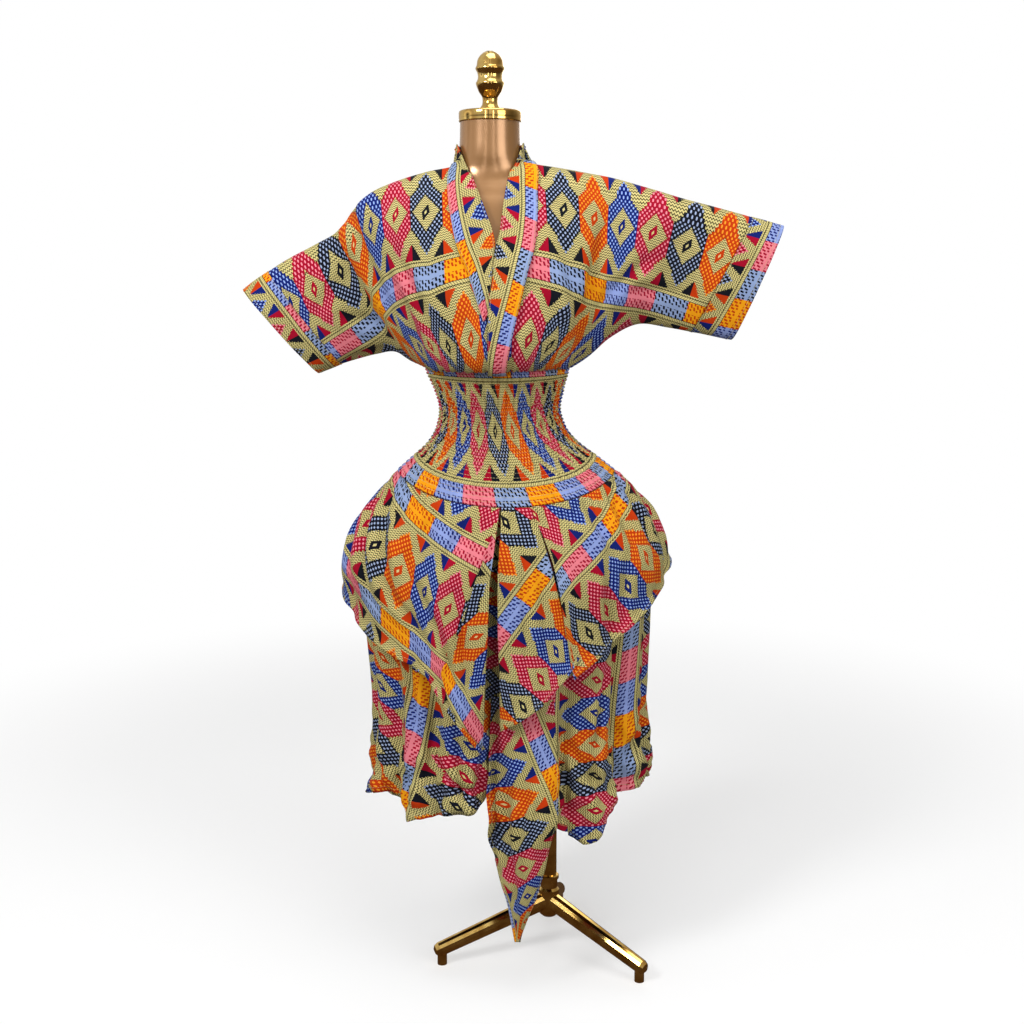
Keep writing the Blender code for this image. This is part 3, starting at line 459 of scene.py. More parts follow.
from_side = sum_node("SUBTRACT", PITCH / 2, across_abs)
from_rail = sum_node("SUBTRACT", (ROW - ZONE) / 2, along_abs)
stair = sum_node("FLOOR", sum_node("DIVIDE", sum_node("SUBTRACT", from_rail, TOOTH_GAP), TOOTH_STEP))
taper = sum_node("MULTIPLY", sum_node("MULTIPLY", stair, TOOTH_STEP), TOOTH_TAPER)
tooth = both(
    sum_node("LESS_THAN", from_side, sum_node("SUBTRACT", TOOTH_HALF, taper)),
    sum_node("GREATER_THAN", from_rail, TOOTH_GAP),
    sum_node("LESS_THAN", from_rail, TOOTH_END),
)

wave = sum_node("PINGPONG", u, TWILL_WAVE)
twill = sum_node("FLOORED_MODULO", sum_node("ADD", v, wave), TWILL_PITCH)
ground = over(KHAKI, OLIVE, sum_node("LESS_THAN", twill, TWILL_LINE))
figure = over(dark, light, light_dot)
figure = over(figure, ground, eye)
figure = over(figure, dark, pupil)
figure = over(figure, KHAKI, glint)
zone = over(over(ground, dark, tooth), figure, lozenge)

rail_place = sum_node("PINGPONG", row_place, ZONE / 2)
rail_edge = sum_node("GREATER_THAN", distance(rail_place, RAIL / 2), RAIL / 2 - RAIL_EDGE)
along_cord = sum_node("ADD", u, sum_node("MULTIPLY", rail_place, 0.8))
rail_cord = sum_node("LESS_THAN", sum_node("FLOORED_MODULO", along_cord, CORD_PITCH), CORD_LINE)
rail = over(over(KHAKI, OLIVE, sum_node("MULTIPLY", rail_cord, CORD_STRENGTH)), RAIL_LINE, rail_edge)

dash_column = sum_node("DIVIDE", from_middle, DASH_ACROSS)
stagger = sum_node("MULTIPLY", sum_node("FLOORED_MODULO", sum_node("FLOOR", dash_column), 2.0), 0.5)
dash_share = sum_node("FRACT", sum_node("ADD", sum_node("DIVIDE", row_place, DASH_ALONG), stagger))
dash_lean = sum_node("ADD", sum_node("MULTIPLY", dash_share, DASH_LEAN), DASH_START)
dash = both(
    sum_node("LESS_THAN", distance(sum_node("FRACT", dash_column), dash_lean), DASH_HALF),
    sum_node("LESS_THAN", dash_share, DASH_LENGTH),
    sum_node("GREATER_THAN", distance(row_place, (RAIL + BLOCK_END) / 2), BLOCK_CLEAR),
)
in_block = both(sum_node("GREATER_THAN", row_place, RAIL), sum_node("LESS_THAN", row_place, BLOCK_END))
in_zone = sum_node("GREATER_THAN", row_place, ZONE)
print_colour = over(over(rail, over(blocks, dark, dash), in_block), zone, in_zone)

# The dye is a little uneven, and the weave raises fine threads.
place = shade_node("TexCoord").outputs["Object"]
dye = shade_node("TexNoise", {"Vector": place, "Scale": 28.0, "Detail": 5.0})
value = shade_node("MapRange", {"Value": dye.outputs["Fac"], "To Min": 0.70, "To Max": 1.04})
tint = shade_node("HueSaturation", {"Value": value.outputs["Result"], "Color": print_colour})
threads = sum_node(
    "ADD",
    sum_node("COSINE", sum_node("MULTIPLY", u, 2 * math.pi / WEAVE_PITCH)),
    sum_node("COSINE", sum_node("MULTIPLY", v, 2 * math.pi / WEAVE_PITCH)),
)
crumple = shade_node("TexNoise", {"Vector": place, "Scale": 55.0, "Detail": 3.0})
weave = shade_node("Bump", {"Strength": 0.25, "Distance": 0.00012, "Height": threads})
soft = shade_node("Bump", {"Strength": 0.35, "Distance": 0.0035, "Height": crumple.outputs["Fac"]})
put(soft, {"Normal": weave.outputs["Normal"]})
put(shader, {"Base Color": tint.outputs["Color"], "Normal": soft.outputs["Normal"], "Roughness": 0.78})
put(shader, {"Sheen Weight": 0.02, "Sheen Roughness": 0.5, "Specular IOR Level": 0.06})


# Bodice: two fronts and a back with the batwing sleeves cut in one, gathered into the waist. The
# cloth hangs from the shoulder ridge, blouses over the waist seam and creases at the underarms.
CLOTH = 0.0009
FRONT_GRID = (96, 128)
BACK_GRID = (72, 100)
RIDGE_START = 0.0675
BACK_PRINT_DROP = 0.0885
BACK_CREASE_SHARE = 0.8
GATHER_PITCH = 0.0125
GATHER_DEPTH = 0.0030
GATHER_SWELL = 0.0014
HANG = 0.0058
HANG_PITCH = 0.047
HANG_UNEVEN = 0.0018
BODY_HALF = 0.27
GATHERED_REACH = 0.075
Line = namedtuple("Line", "top_x top_y top_z low_x low_z low_front low_back front back")
LEFT_LINES = [Line(*row) for row in (
    (-0.0365, 0.004, 1.44, -0.025, 1.087, 0.0985, 0.0925, 0.07, 0.044),
    (-0.104, 0.004, 1.424, -0.056, 1.087, 0.095, 0.089, 0.075, 0.048),
    (-0.15, 0.003, 1.4145, -0.098, 1.087, 0.079, 0.074, 0.076, 0.053),
    (-0.195, 0.003, 1.401, -0.128, 1.087, 0.053, 0.05, 0.075, 0.057),
    (-0.238, 0.006, 1.381, -0.147, 1.088, 0.007, 0.007, 0.075, 0.058),
    (-0.27, 0.014, 1.353, -0.172, 1.098, -0.012, 0.012, 0.07, 0.054),
    (-0.296, 0.028, 1.32, -0.202, 1.114, -0.028, 0.028, 0.052, 0.048),
    (-0.335, 0.042, 1.299, -0.233, 1.11, -0.042, 0.042, 0.046, 0.044),
    (-0.385, 0.052, 1.274, -0.268, 1.101, -0.052, 0.052, 0.046, 0.044),
    (-0.428, 0.057, 1.248, -0.303, 1.09, -0.057, 0.057, 0.046, 0.044),
    (-0.468, 0.06, 1.221, -0.339, 1.076, -0.06, 0.06, 0.044, 0.042),
)]
RIGHT_LINES = [Line(*row) for row in (
    (-0.0365, 0.004, 1.44, -0.025, 1.087, 0.0985, 0.0925, 0.07, 0.044),
    (0.031, 0.004, 1.43, 0.005, 1.087, 0.095, 0.089, 0.075, 0.048),
    (0.085, 0.003, 1.422, 0.048, 1.087, 0.079, 0.074, 0.076, 0.053),
    (0.135, 0.003, 1.413, 0.078, 1.087, 0.053, 0.05, 0.075, 0.057),
    (0.185, 0.003, 1.402, 0.0975, 1.088, 0.007, 0.007, 0.075, 0.058),
    (0.235, 0.003, 1.388, 0.129, 1.106, -0.003, 0.003, 0.073, 0.056),
    (0.283, 0.003, 1.374, 0.166, 1.138, -0.003, 0.003, 0.062, 0.052),
    (0.33, 0.003, 1.362, 0.215, 1.162, -0.003, 0.003, 0.05, 0.048),
    (0.375, 0.002, 1.35, 0.268, 1.156, -0.002, 0.002, 0.047, 0.045),
    (0.418, 0.001, 1.338, 0.321, 1.146, -0.001, 0.001, 0.047, 0.044),
    (0.458, 0.0, 1.3264, 0.3743, 1.135, 0.0, 0.0, 0.045, 0.042),
)]
BACK_NECK_Y = 0.062
SEAM_SET_BACK = 0.0002
CUFF_WIDTH = 0.055
INNER_AT_WAIST = 0.25
INNER_TURN = 0.35

# A crease runs between two places in the flat cloth, in metres across and down. Its depth is how far
# it goes in.
Crease = namedtuple("Crease", "across_1 down_1 across_2 down_2 width depth")


def bodice_point(lines, row, share, back):
    """A point of the bodice: row counts lines from centre to cuff, share runs from the ridge down."""
    line = Line(*smooth_rows(lines, row))
    turn = math.pi * share
    along = (1 - math.cos(turn)) / 2
    out = max(math.sin(turn), 0.0) ** 0.75
    top_y = line.top_y
    if back and row < 1.0:
        top_y += BACK_NECK_Y * math.cos(math.pi / 2 * row) ** 0.8
    middle = (line.low_back - line.low_front) / 2
    apart = max((line.low_back + line.low_front) / 2, 0.0)
    low_y = middle + apart if back else middle - apart
    bulge = line.back if back else -line.front
    return (
        line.top_x + (line.low_x - line.top_x) * along,
        top_y + (low_y - top_y) * along + bulge * out + (SEAM_SET_BACK if back else -SEAM_SET_BACK),
        line.top_z + (line.low_z - line.top_z) * along,
    )


def grid_normals(points, closed, flip):
    down = np.gradient(points, axis=0)
    if closed:
        across = (np.roll(points, -1, axis=1) - np.roll(points, 1, axis=1)) / 2
    else:
        across = np.gradient(points, axis=1)
    normals = np.cross(down, across)
    normals /= np.maximum(np.linalg.norm(normals, axis=2, keepdims=True), 1e-12)
    return -normals if flip else normals


def closed_ring(points):
    """A grid with its first column again at its end."""
    return np.concatenate([points, points[:, :1]], axis=1)


def pushed(points, push, closed, flip):
    """The cloth moved out by push, square to itself."""
    return points + grid_normals(points, closed, flip) * push[..., None]


def flat_lengths(points, zero_column, closed=False):
    """How far each point is in the flat cloth: across from one column, and down from the top."""
    ring = closed_ring(points) if closed else points
    steps = np.linalg.norm(np.diff(ring, axis=1), axis=2)
    across = np.concatenate([np.zeros((len(ring), 1)), np.cumsum(steps, axis=1)], axis=1)
    across -= across[:, zero_column : zero_column + 1]
    drops = np.linalg.norm(np.diff(ring, axis=0), axis=2)
    down = np.concatenate([np.zeros((1, ring.shape[1])), np.cumsum(drops, axis=0)], axis=0)
    return across, down


def crease_depth(creases, across, down):
    """How far the creases push the cloth, with a low ridge on each side of each trough."""
    total = np.zeros_like(across)
    for c in creases:
        run = np.array([c.across_2 - c.across_1, c.down_2 - c.down_1])
        length = float(run @ run)
        share = np.clip(((across - c.across_1) * run[0] + (down - c.down_1) * run[1]) / length, 0.0, 1.0)
        away = np.hypot(across - c.across_1 - share * run[0], down - c.down_1 - share * run[1])
        fade = np.sin(math.pi * np.clip(share, 0.04, 0.96)) ** 0.6
        trough = np.exp(-((away / c.width) ** 2))
        ridge = np.exp(-(((away - 1.9 * c.width) / c.width) ** 2))
        total += -c.depth * fade * (trough - 0.4 * ridge)
    return total


def rumple(points, size, height):
    """Soft uneven swelling over the cloth."""
    out = np.zeros(points.shape[:2])
    for i in range(points.shape[0]):
        for j in range(points.shape[1]):
            out[i, j] = noise.noise(Vector(points[i, j] / size)) * height
    return out


def lay_print(across, down, turn, anchor, cell, row_place=ZONE_MIDDLE):
    """The print's own coordinates, turned on the cloth, with one colourway's lozenge at anchor."""
    c, s = math.cos(math.radians(turn)), math.sin(math.radians(turn))
    u = c * (across - anchor[0]) + s * (down - anchor[1])
    v = -s * (across - anchor[0]) + c * (down - anchor[1])
    return u + (cell + 0.5) * PITCH, v + row_place


# How the print's lengthwise threads run on each front: straight down from the shoulder, out over the
# bust, and drawn together above the waist.
Thread = namedtuple("Thread", "ridge_x chest_x waist_x")
CHEST_HEIGHT = 1.21
GATHER_HEIGHT = 1.10
LEFT_THREADS = [Thread(*row) for row in (
    (-0.0365, -0.0365, -0.03), (-0.085, -0.0735, -0.0545), (-0.14, -0.134, -0.09), (-0.19, -0.176, -0.11),
    (-0.235, -0.203, -0.128), (-0.268, -0.222, -0.148), (-0.305, -0.243, -0.172), (-0.345, -0.303, -0.235),
    (-0.4, -0.366, -0.297), (-0.468, -0.44, -0.375),
)]
RIGHT_THREADS = [Thread(*row) for row in (
    (-0.0365, -0.0365, -0.03), (0.03, 0.038, 0.027), (0.083, 0.098, 0.0455), (0.138, 0.141, 0.0735),
    (0.19, 0.174, 0.105), (0.24, 0.209, 0.15), (0.29, 0.249, 0.2), (0.34, 0.297, 0.262),
    (0.458, 0.402, 0.37),
)]
SHOULDER_PRINT = 0.050
SHOULDER_DRAW = 0.45
CHEST_PRINT = 0.100
CHEST_DRAW = 0.10
# How far the print's rows rise, and its columns shift, with the place along each front's shoulder.
Drift = namedtuple("Drift", "place rise shift")
LEFT_DRIFT = [Drift(*row) for row in (
    (-0.4335, 0.022, 0.0), (-0.3785, 0.025, 0.0), (-0.3235, 0.032, 0.0), (-0.2685, 0.041, 0.0),
    (-0.2135, 0.03, 0.0), (-0.1585, 0.018, 0.0), (-0.1035, 0.0, 0.0),
)]
RIGHT_DRIFT = [Drift(*row) for row in (
    (0.2, 0.0, 0.0), (0.235, 0.004, 0.0), (0.29, 0.011, 0.006), (0.345, 0.013, 0.018), (0.4, 0.013, 0.024),
    (0.45, 0.013, 0.028),
)]


def thread_places(points, threads, ridge_places):
    """How far along the shoulder the lengthwise thread through each point starts."""
    order = np.argsort(np.append(points[0, :, 0], NECK_X))
    ridge_x, ridge_z = (np.append(points[0, :, k], end)[order] for k, end in ((0, NECK_X), (2, 1.440)))
    ridge_places = np.append(ridge_places, 0.0)[order]
    table = np.array(sorted(threads))
    fine = np.linspace(table[0, 0], table[-1, 0], 80)
    chest_x, waist_x = np.interp(fine, table[:, 0], table[:, 1]), np.interp(fine, table[:, 0], table[:, 2])
    tops = np.interp(fine, ridge_x, ridge_z)
    places = np.interp(fine, ridge_x, ridge_places)
    out = np.zeros(points.shape[:2])
    for i in range(points.shape[0]):
        for j in range(points.shape[1]):
            x, z = points[i, j, 0], points[i, j, 2]
            upper = np.clip((z - CHEST_HEIGHT) / np.maximum(tops - CHEST_HEIGHT, 0.01), 0.0, 1.0)
            lower = max(CHEST_HEIGHT - z, 0.0) / (CHEST_HEIGHT - GATHER_HEIGHT)
            run = chest_x + (fine - chest_x) * upper + (waist_x - chest_x) * lower**1.3
            out[i, j] = np.interp(x, np.maximum.accumulate(run), places)
    return out


def nearest(points, x, z):
    """The grid place nearest to a spot seen from the front."""
    gap = (points[..., 0] - x) ** 2 + (points[..., 2] - z) ** 2 + np.where(points[..., 1] > 0, 1.0, 0.0)
    return np.unravel_index(int(np.argmin(gap)), gap.shape)


def cloth(name, points, print_uv, closed=False, flip=False, thickness=CLOTH):
    """A thin sheet through a grid of points, with the print's coordinates on it and its wall inside."""
    rows, columns = points.shape[:2]
    faces, loops = [], []
    for i in range(rows - 1):
        for j in range(columns if closed else columns - 1):
            k = (j + 1) % columns
            face = [(i, j, j), (i + 1, j, j), (i + 1, k, j + 1), (i, k, j + 1)]
            if flip:
                face.reverse()
            faces.append(tuple(a * columns + b for a, b, _ in face))
            loops += [(a, m) for a, _, m in face]
    made = mesh_object(name, points.reshape(-1, 3), faces, cotton)
    layer = made.data.uv_layers.new(name="flat_cloth")
    u_map, v_map = print_uv
    index = np.array(loops)
    values = np.stack([u_map[index[:, 0], index[:, 1]], v_map[index[:, 0], index[:, 1]]], axis=1)
    layer.data.foreach_set("uv", values.astype(np.float32).ravel())
    wall = made.modifiers.new("wall", "SOLIDIFY")
    wall.thickness = thickness
    wall.offset = -1.0
    return made


def sheet_area(piece):
    graph = bpy.context.evaluated_depsgraph_get()
    shown = piece.evaluated_get(graph).to_mesh()
    return sum(p.area for p in shown.polygons) / 2


def declare(piece, nodes):
    """Hides the imported nodes that a sheet stands for, hangs the sheet from the root body and works out
    its area.
    """
    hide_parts(*nodes)
    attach(piece, "root")
    area = sheet_area(piece)


def cuff_row(lines):
    end, before = np.array(lines[-1]), np.array(lines[-2])
    return len(lines) - 1 - CUFF_WIDTH / np.linalg.norm((end - before)[[0, 2]])


def inner_row(share, at_waist):
    """Where a front's inner edge runs, hidden under the neck band on its way to the waist."""
    along = (1 - math.cos(math.pi * share)) / 2
    return 1.0 + (at_waist - 1.0) * min(max((along - INNER_TURN) / (1 - INNER_TURN), 0.0), 1.0)


def gathers(across, pitch):
    """The uneven ripple of cloth drawn up on a thread, about -1 to 1."""
    return (
        0.55 * np.sin(2 * math.pi * across / pitch + 0.6)
        + 0.30 * np.sin(2 * math.pi * across / (pitch * 1.37) + 2.1)
        + 0.25 * np.sin(2 * math.pi * across / (pitch * 0.61) + 4.0)
    )


LEFT_CREASES = [Crease(*row) for row in (
    (-0.262, 0.01, -0.25, 0.235, 0.014, 0.011), (-0.235, 0.05, -0.215, 0.3, 0.013, 0.007),
    (-0.2, 0.12, -0.16, 0.36, 0.012, 0.005), (-0.29, 0.2, -0.38, 0.15, 0.012, 0.005),
    (-0.3, 0.09, -0.43, 0.13, 0.013, 0.004), (-0.16, 0.26, -0.13, 0.38, 0.01, 0.004),
    (-0.11, 0.3, -0.1, 0.39, 0.008, 0.003), (-0.31, 0.24, -0.43, 0.23, 0.01, 0.004),
)]
RIGHT_CREASES = [Crease(*row) for row in (
    (0.215, 0.29, 0.13, 0.16, 0.014, 0.008), (0.225, 0.27, 0.21, 0.11, 0.013, 0.007),
    (0.19, 0.32, 0.11, 0.26, 0.011, 0.005), (0.26, 0.24, 0.33, 0.14, 0.013, 0.005),
    (0.3, 0.21, 0.42, 0.18, 0.011, 0.004), (0.1, 0.29, 0.085, 0.385, 0.009, 0.004),
    (0.05, 0.31, 0.055, 0.39, 0.008, 0.003), (0.33, 0.06, 0.43, 0.09, 0.012, 0.003),
)]


def bodice_grid(lines, rows, columns, back, start=None, at_waist=INNER_AT_WAIST):
    end = cuff_row(lines) - 0.004
    points = np.zeros((rows, columns, 3))
    for i in range(rows):
        share = i / (rows - 1)
        first = inner_row(share, at_waist) if start is None else start
        for j in range(columns):
            points[i, j] = bodice_point(lines, first + (end - first) * j / (columns - 1), share, back)
    return points


def blouse(points, across, down, creases, closed, flip):
    """Creases, soft swelling and the gathers above the waist seam."""
    total = down[-1]
    near_waist = np.clip(1 - (total[None, :] - down) / GATHERED_REACH, 0.0, 1.0) ** 1.5
    at_body = np.clip((BODY_HALF - np.abs(across)) / 0.06, 0.0, 1.0)
    push = crease_depth(creases, across, down) + rumple(points, 0.07, 0.0035)
    ripple = (GATHER_DEPTH * gathers(across, GATHER_PITCH) + GATHER_SWELL) * near_waist * at_body
    edge = np.minimum(1.0, np.arange(len(points)) / 4.0)
    edge = np.minimum(edge, edge[::-1])[:, None]
    out = pushed(points, push * edge + ripple, closed, flip)
    hang = np.clip((np.arange(len(points)) - len(points) + 5) / 4.0, 0.0, 1.0)[:, None] * at_body
    out[..., 2] += hang * (HANG + HANG_UNEVEN * gathers(across, HANG_PITCH))
    return out


for name, lines, node, creases, anchor, cell, at_waist in (
    ("bodice_left", LEFT_LINES, "bodice_front_left", LEFT_CREASES, (-0.142, 1.345), 0, 0.06),
    ("bodice_right", RIGHT_LINES, "bodice_front_right", RIGHT_CREASES, (0.083, 1.349), 0, INNER_AT_WAIST),
):
    points = bodice_grid(lines, *FRONT_GRID, False, at_waist=at_waist)
    across, down = flat_lengths(points, 0)
    ridge = across[:1, :] + RIDGE_START
    sign = -1.0 if lines is LEFT_LINES else 1.0
    lay = np.repeat(ridge * sign, len(points), axis=0)
    spot = nearest(points, *anchor)
    above = np.maximum(down[spot] - SHOULDER_PRINT - down, 0.0)
    below = np.maximum(down - down[spot] - CHEST_PRINT, 0.0)
    along = thread_places(points, LEFT_THREADS if sign < 0 else RIGHT_THREADS, lay[0])
    drop = down + SHOULDER_DRAW * above - CHEST_DRAW * below
    drift = np.array(LEFT_DRIFT if sign < 0 else RIGHT_DRIFT)
    drop = drop + np.interp(along, drift[:, 0], drift[:, 1])
    shifted = along - np.interp(along, drift[:, 0], drift[:, 2])
    print_uv = lay_print(shifted, drop, 0.0, (along[spot], down[spot]), cell)
    points = blouse(points, lay, down, creases, False, lines is LEFT_LINES)
    piece = cloth(name, points, print_uv, flip=lines is LEFT_LINES)
    declare(piece, [node])

left = bodice_grid(LEFT_LINES, *BACK_GRID, True, 0.0)[:, :0:-1]
right = bodice_grid(RIGHT_LINES, *BACK_GRID, True, 0.0)
points = np.concatenate([left, right], axis=1)
across, down = flat_lengths(points, left.shape[1])
lay = np.repeat(across[:1, :], len(points), axis=0)
back_creases = [c._replace(depth=c.depth * BACK_CREASE_SHARE) for c in RIGHT_CREASES]
back_creases = [c._replace(across_1=-c.across_1, across_2=-c.across_2) for c in back_creases] + back_creases
print_uv = lay_print(lay, down, 0.0, (0.0, BACK_PRINT_DROP), 2)
points = blouse(points, lay, down, back_creases, False, True)
piece = cloth("bodice_back_cloth", points, print_uv, flip=True)
declare(piece, ["bodice_back"])


# Sewing: short machine stitches of cotton thread, in the straw colour of the cloth's own ground.
# Geometry Nodes lay one at each step of a seam, just off the cloth, and vary their lengths a little.
STITCH_SEED = 7
STITCH_UNEVEN = 0.15
THREAD_LIFT = 0.0004
STITCH_PITCH = 0.0034
STITCH_LENGTH = 0.0023
THREAD_RADIUS = 0.0003
HEM_STITCH = {"pitch": 0.0042, "length": 0.0029}

thread, tree, shader = new_material("sewing_thread")
place = shade_node("TexCoord").outputs["Object"]
twist = shade_node("TexNoise", {"Vector": place, "Scale": 700.0})
tone = colour_ramp(twist.outputs["Fac"], [(0.35, linear(132, 120, 70)), (0.65, linear(220, 210, 150))])
put(shader, {"Base Color": tone, "Roughness": 0.55, "Sheen Weight": 0.2})

# Stitches along a seam: the run is spaced evenly and a short thread laid along it at each step.
stitches = bpy.data.node_groups.new("stitches_along_a_seam", "GeometryNodeTree")
stitches.interface.new_socket("Seam", in_out="INPUT", socket_type="NodeSocketGeometry")
for label, size in (
    ("Stitch Pitch", STITCH_PITCH), ("Stitch Length", STITCH_LENGTH), ("Thread Radius", THREAD_RADIUS),
):
    stitches.interface.new_socket(label, in_out="INPUT", socket_type="NodeSocketFloat").default_value = size
stitches.interface.new_socket("Stitches", in_out="OUTPUT", socket_type="NodeSocketGeometry")
add = stitches.nodes.new
given = add("NodeGroupInput")
run = add("GeometryNodeMeshToCurve")
spaced = add("GeometryNodeResampleCurve")
spaced.mode = "LENGTH"
heading = add("GeometryNodeInputTangent")
aim = add("FunctionNodeAlignRotationToVector")
aim.axis = "Z"
uneven = add("FunctionNodeRandomValue")
uneven.inputs[2].default_value = 1.0 - STITCH_UNEVEN
uneven.inputs[3].default_value = 1.0 + STITCH_UNEVEN
uneven.inputs["Seed"].default_value = STITCH_SEED
stretch = add("ShaderNodeCombineXYZ")
stretch.inputs["X"].default_value = 1.0
stretch.inputs["Y"].default_value = 1.0
stitch = add("GeometryNodeMeshCylinder")
stitch.inputs["Vertices"].default_value = 5
laid = add("GeometryNodeInstanceOnPoints")
real = add("GeometryNodeRealizeInstances")
dyed = add("GeometryNodeSetMaterial")
dyed.inputs["Material"].default_value = thread
made = add("NodeGroupOutput")
for source, target in (
    (given.outputs["Seam"], run.inputs["Mesh"]),
    (run.outputs["Curve"], spaced.inputs["Curve"]),
    (given.outputs["Stitch Pitch"], spaced.inputs["Length"]),
    (heading.outputs["Tangent"], aim.inputs["Vector"]),
    (uneven.outputs[1], stretch.inputs["Z"]),
    (given.outputs["Thread Radius"], stitch.inputs["Radius"]),
    (given.outputs["Stitch Length"], stitch.inputs["Depth"]),
    (spaced.outputs["Curve"], laid.inputs["Points"]),
    (stitch.outputs["Mesh"], laid.inputs["Instance"]),
    (aim.outputs["Rotation"], laid.inputs["Rotation"]),
    (stretch.outputs["Vector"], laid.inputs["Scale"]),
    (laid.outputs["Instances"], real.inputs["Geometry"]),
    (real.outputs["Geometry"], dyed.inputs["Geometry"]),
    (dyed.outputs["Geometry"], made.inputs["Stitches"]),
):
    stitches.links.new(source, target)


def seam_run(points, rows, columns, flip=False, lift=THREAD_LIFT):
    """A line over a cloth grid at fractional rows and columns, lifted just off the cloth."""
    rows, columns = np.broadcast_arrays(np.asarray(rows, float), np.asarray(columns, float))
    i = np.minimum(rows.astype(int), points.shape[0] - 2)
    j = np.minimum(columns.astype(int), points.shape[1] - 2)
    a, b = (rows - i)[:, None], (columns - j)[:, None]
    out = 0.0
    for grid, much in ((points, 1.0), (grid_normals(points, False, flip), lift)):
        upper = (1 - b) * grid[i, j] + b * grid[i, j + 1]
        lower = (1 - b) * grid[i + 1, j] + b * grid[i + 1, j + 1]
        out = out + ((1 - a) * upper + a * lower) * much
    return out


def sew(name, runs, pitch=STITCH_PITCH, length=STITCH_LENGTH, radius=THREAD_RADIUS):
    """Stitches along runs of points, turned into one plain mesh."""
    points, edges = [], []
    for line in runs:
        first = len(points)
        points += (line + MOVE).tolist()
        edges += [(first + k, first + k + 1) for k in range(len(line) - 1)]
    mesh = bpy.data.meshes.new(name + "_seam")
    mesh.from_pydata(points, edges, [])
    holder = bpy.data.objects.new(name + "_seam", mesh)
    bpy.context.scene.collection.objects.link(holder)
    maker = holder.modifiers.new("stitches", "NODES")
    maker.node_group = stitches
    sizes = {"Stitch Pitch": pitch, "Stitch Length": length, "Thread Radius": radius}
    for item in stitches.interface.items_tree:
        if item.name in sizes:
            maker[item.identifier] = sizes[item.name]
    graph = bpy.context.evaluated_depsgraph_get()
    sewn = bpy.data.meshes.new_from_object(holder.evaluated_get(graph), depsgraph=graph)
    holder.modifiers.remove(maker)
    bpy.data.objects.remove(holder)
    piece = bpy.data.objects.new(name, sewn)
    bpy.context.scene.collection.objects.link(piece)
    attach(piece, "root")


# Neck bands: a straight double strip sewn down each front's edge and round the back of the neck. The
# viewer's right one lies on top and runs on to the waist; its blocks are on its outer side.
Edge = namedtuple("Edge", "inner_x outer_x inner_z outer_z")
LEFT_BAND = [Edge(*row) for row in (
    (-0.0885, -0.0925, 1.459, 1.452), (-0.082, -0.0965, 1.444, 1.43), (-0.073, -0.105, 1.423, 1.407),
    (-0.064, -0.105, 1.4, 1.373), (-0.048, -0.0975, 1.36, 1.325), (-0.031, -0.088, 1.313, 1.285),
    (-0.0277, -0.072, 1.284, 1.248), (-0.0325, -0.059, 1.235, 1.208), (-0.0392, -0.047, 1.18, 1.17),
)]
RIGHT_BAND = [Edge(*row) for row in (
    (0.016, 0.0215, 1.461, 1.453), (0.0085, 0.035, 1.44, 1.431), (-0.001, 0.043, 1.417, 1.413),
    (-0.0075, 0.042, 1.396, 1.378), (-0.014, 0.0415, 1.36, 1.335), (-0.02, 0.037, 1.313, 1.29),
    (-0.027, 0.026, 1.284, 1.25), (-0.032, 0.015, 1.235, 1.205), (-0.0388, 0.004, 1.18, 1.16),
    (-0.0395, -0.008, 1.104, 1.104), (-0.0395, -0.01, 1.085, 1.085),
)]
BAND_STITCH_COLUMNS = (0.5, 9.5)
COLLAR_THICKNESS = 0.0014
COLLAR_PRINT = (0.02, 0.034)
BAND_LIFT = 0.0016
BAND_SWELL = 0.0005
COLLAR_SWELL = 0.001
SHOULDER_LIFT = 0.0024
WAIST_LIFT = 0.0010
CROSSING = (1.315, 1.265)
SHOULDER_RISE = (1.38, 1.40)
WAIST_RISE = (1.16, 1.13)
BAND_THICKNESS = 0.0016
FORM_CLEARANCE = 0.0022
CollarRow = namedtuple("CollarRow", "angle upper_radius lower_radius upper_z lower_z")
COLLAR = [CollarRow(*row) for row in (
    (-78, 0.0545, 0.06, 1.456, 1.43), (-100, 0.0548, 0.0615, 1.4585, 1.428),
    (-135, 0.055, 0.064, 1.462, 1.431), (180, 0.056, 0.0675, 1.465, 1.4412),
    (135, 0.055, 0.064, 1.463, 1.4348), (95, 0.055, 0.067, 1.46, 1.433), (78, 0.055, 0.066, 1.458, 1.433),
)]


chest_rows = np.linspace(0.0, 4.0, 33)
chest = {side: [Line(*smooth_rows(lines, row)) for row in chest_rows]
         for side, lines in (("left", LEFT_LINES), ("right", RIGHT_LINES))}


def band_skin(x, z):
    """The y that a band lies over: the bodice's front, or the form where the bodice stops short of it."""
    lines, samples = (LEFT_LINES, chest["left"]) if x < NECK_X else (RIGHT_LINES, chest["right"])
    drop = [min(max((one.top_z - z) / (one.top_z - one.low_z), 0.0), 1.0) for one in samples]
    apart = [abs(one.top_x + (one.low_x - one.top_x) * d - NECK_X) for one, d in zip(samples, drop)]
    row = float(np.interp(abs(x - NECK_X), np.maximum.accumulate(apart), chest_rows))
    line = Line(*smooth_rows(lines, row))
    along = min(max((line.top_z - z) / (line.top_z - line.low_z), 0.0), 1.0)
    cloth_y = bodice_point(lines, row, math.acos(1 - 2 * along) / math.pi, False)[1]
    s = section_at(FORM, max(z, 1.13))
    side = (x - s.centre_x) / (s.half_width + FORM_CLEARANCE)
    return min(cloth_y, -(s.front + FORM_CLEARANCE) * math.sqrt(max(1 - side**2, 0.0)))


def ramp(value, start, end):
    return min(max((value - start) / (end - start), 0.0), 1.0)


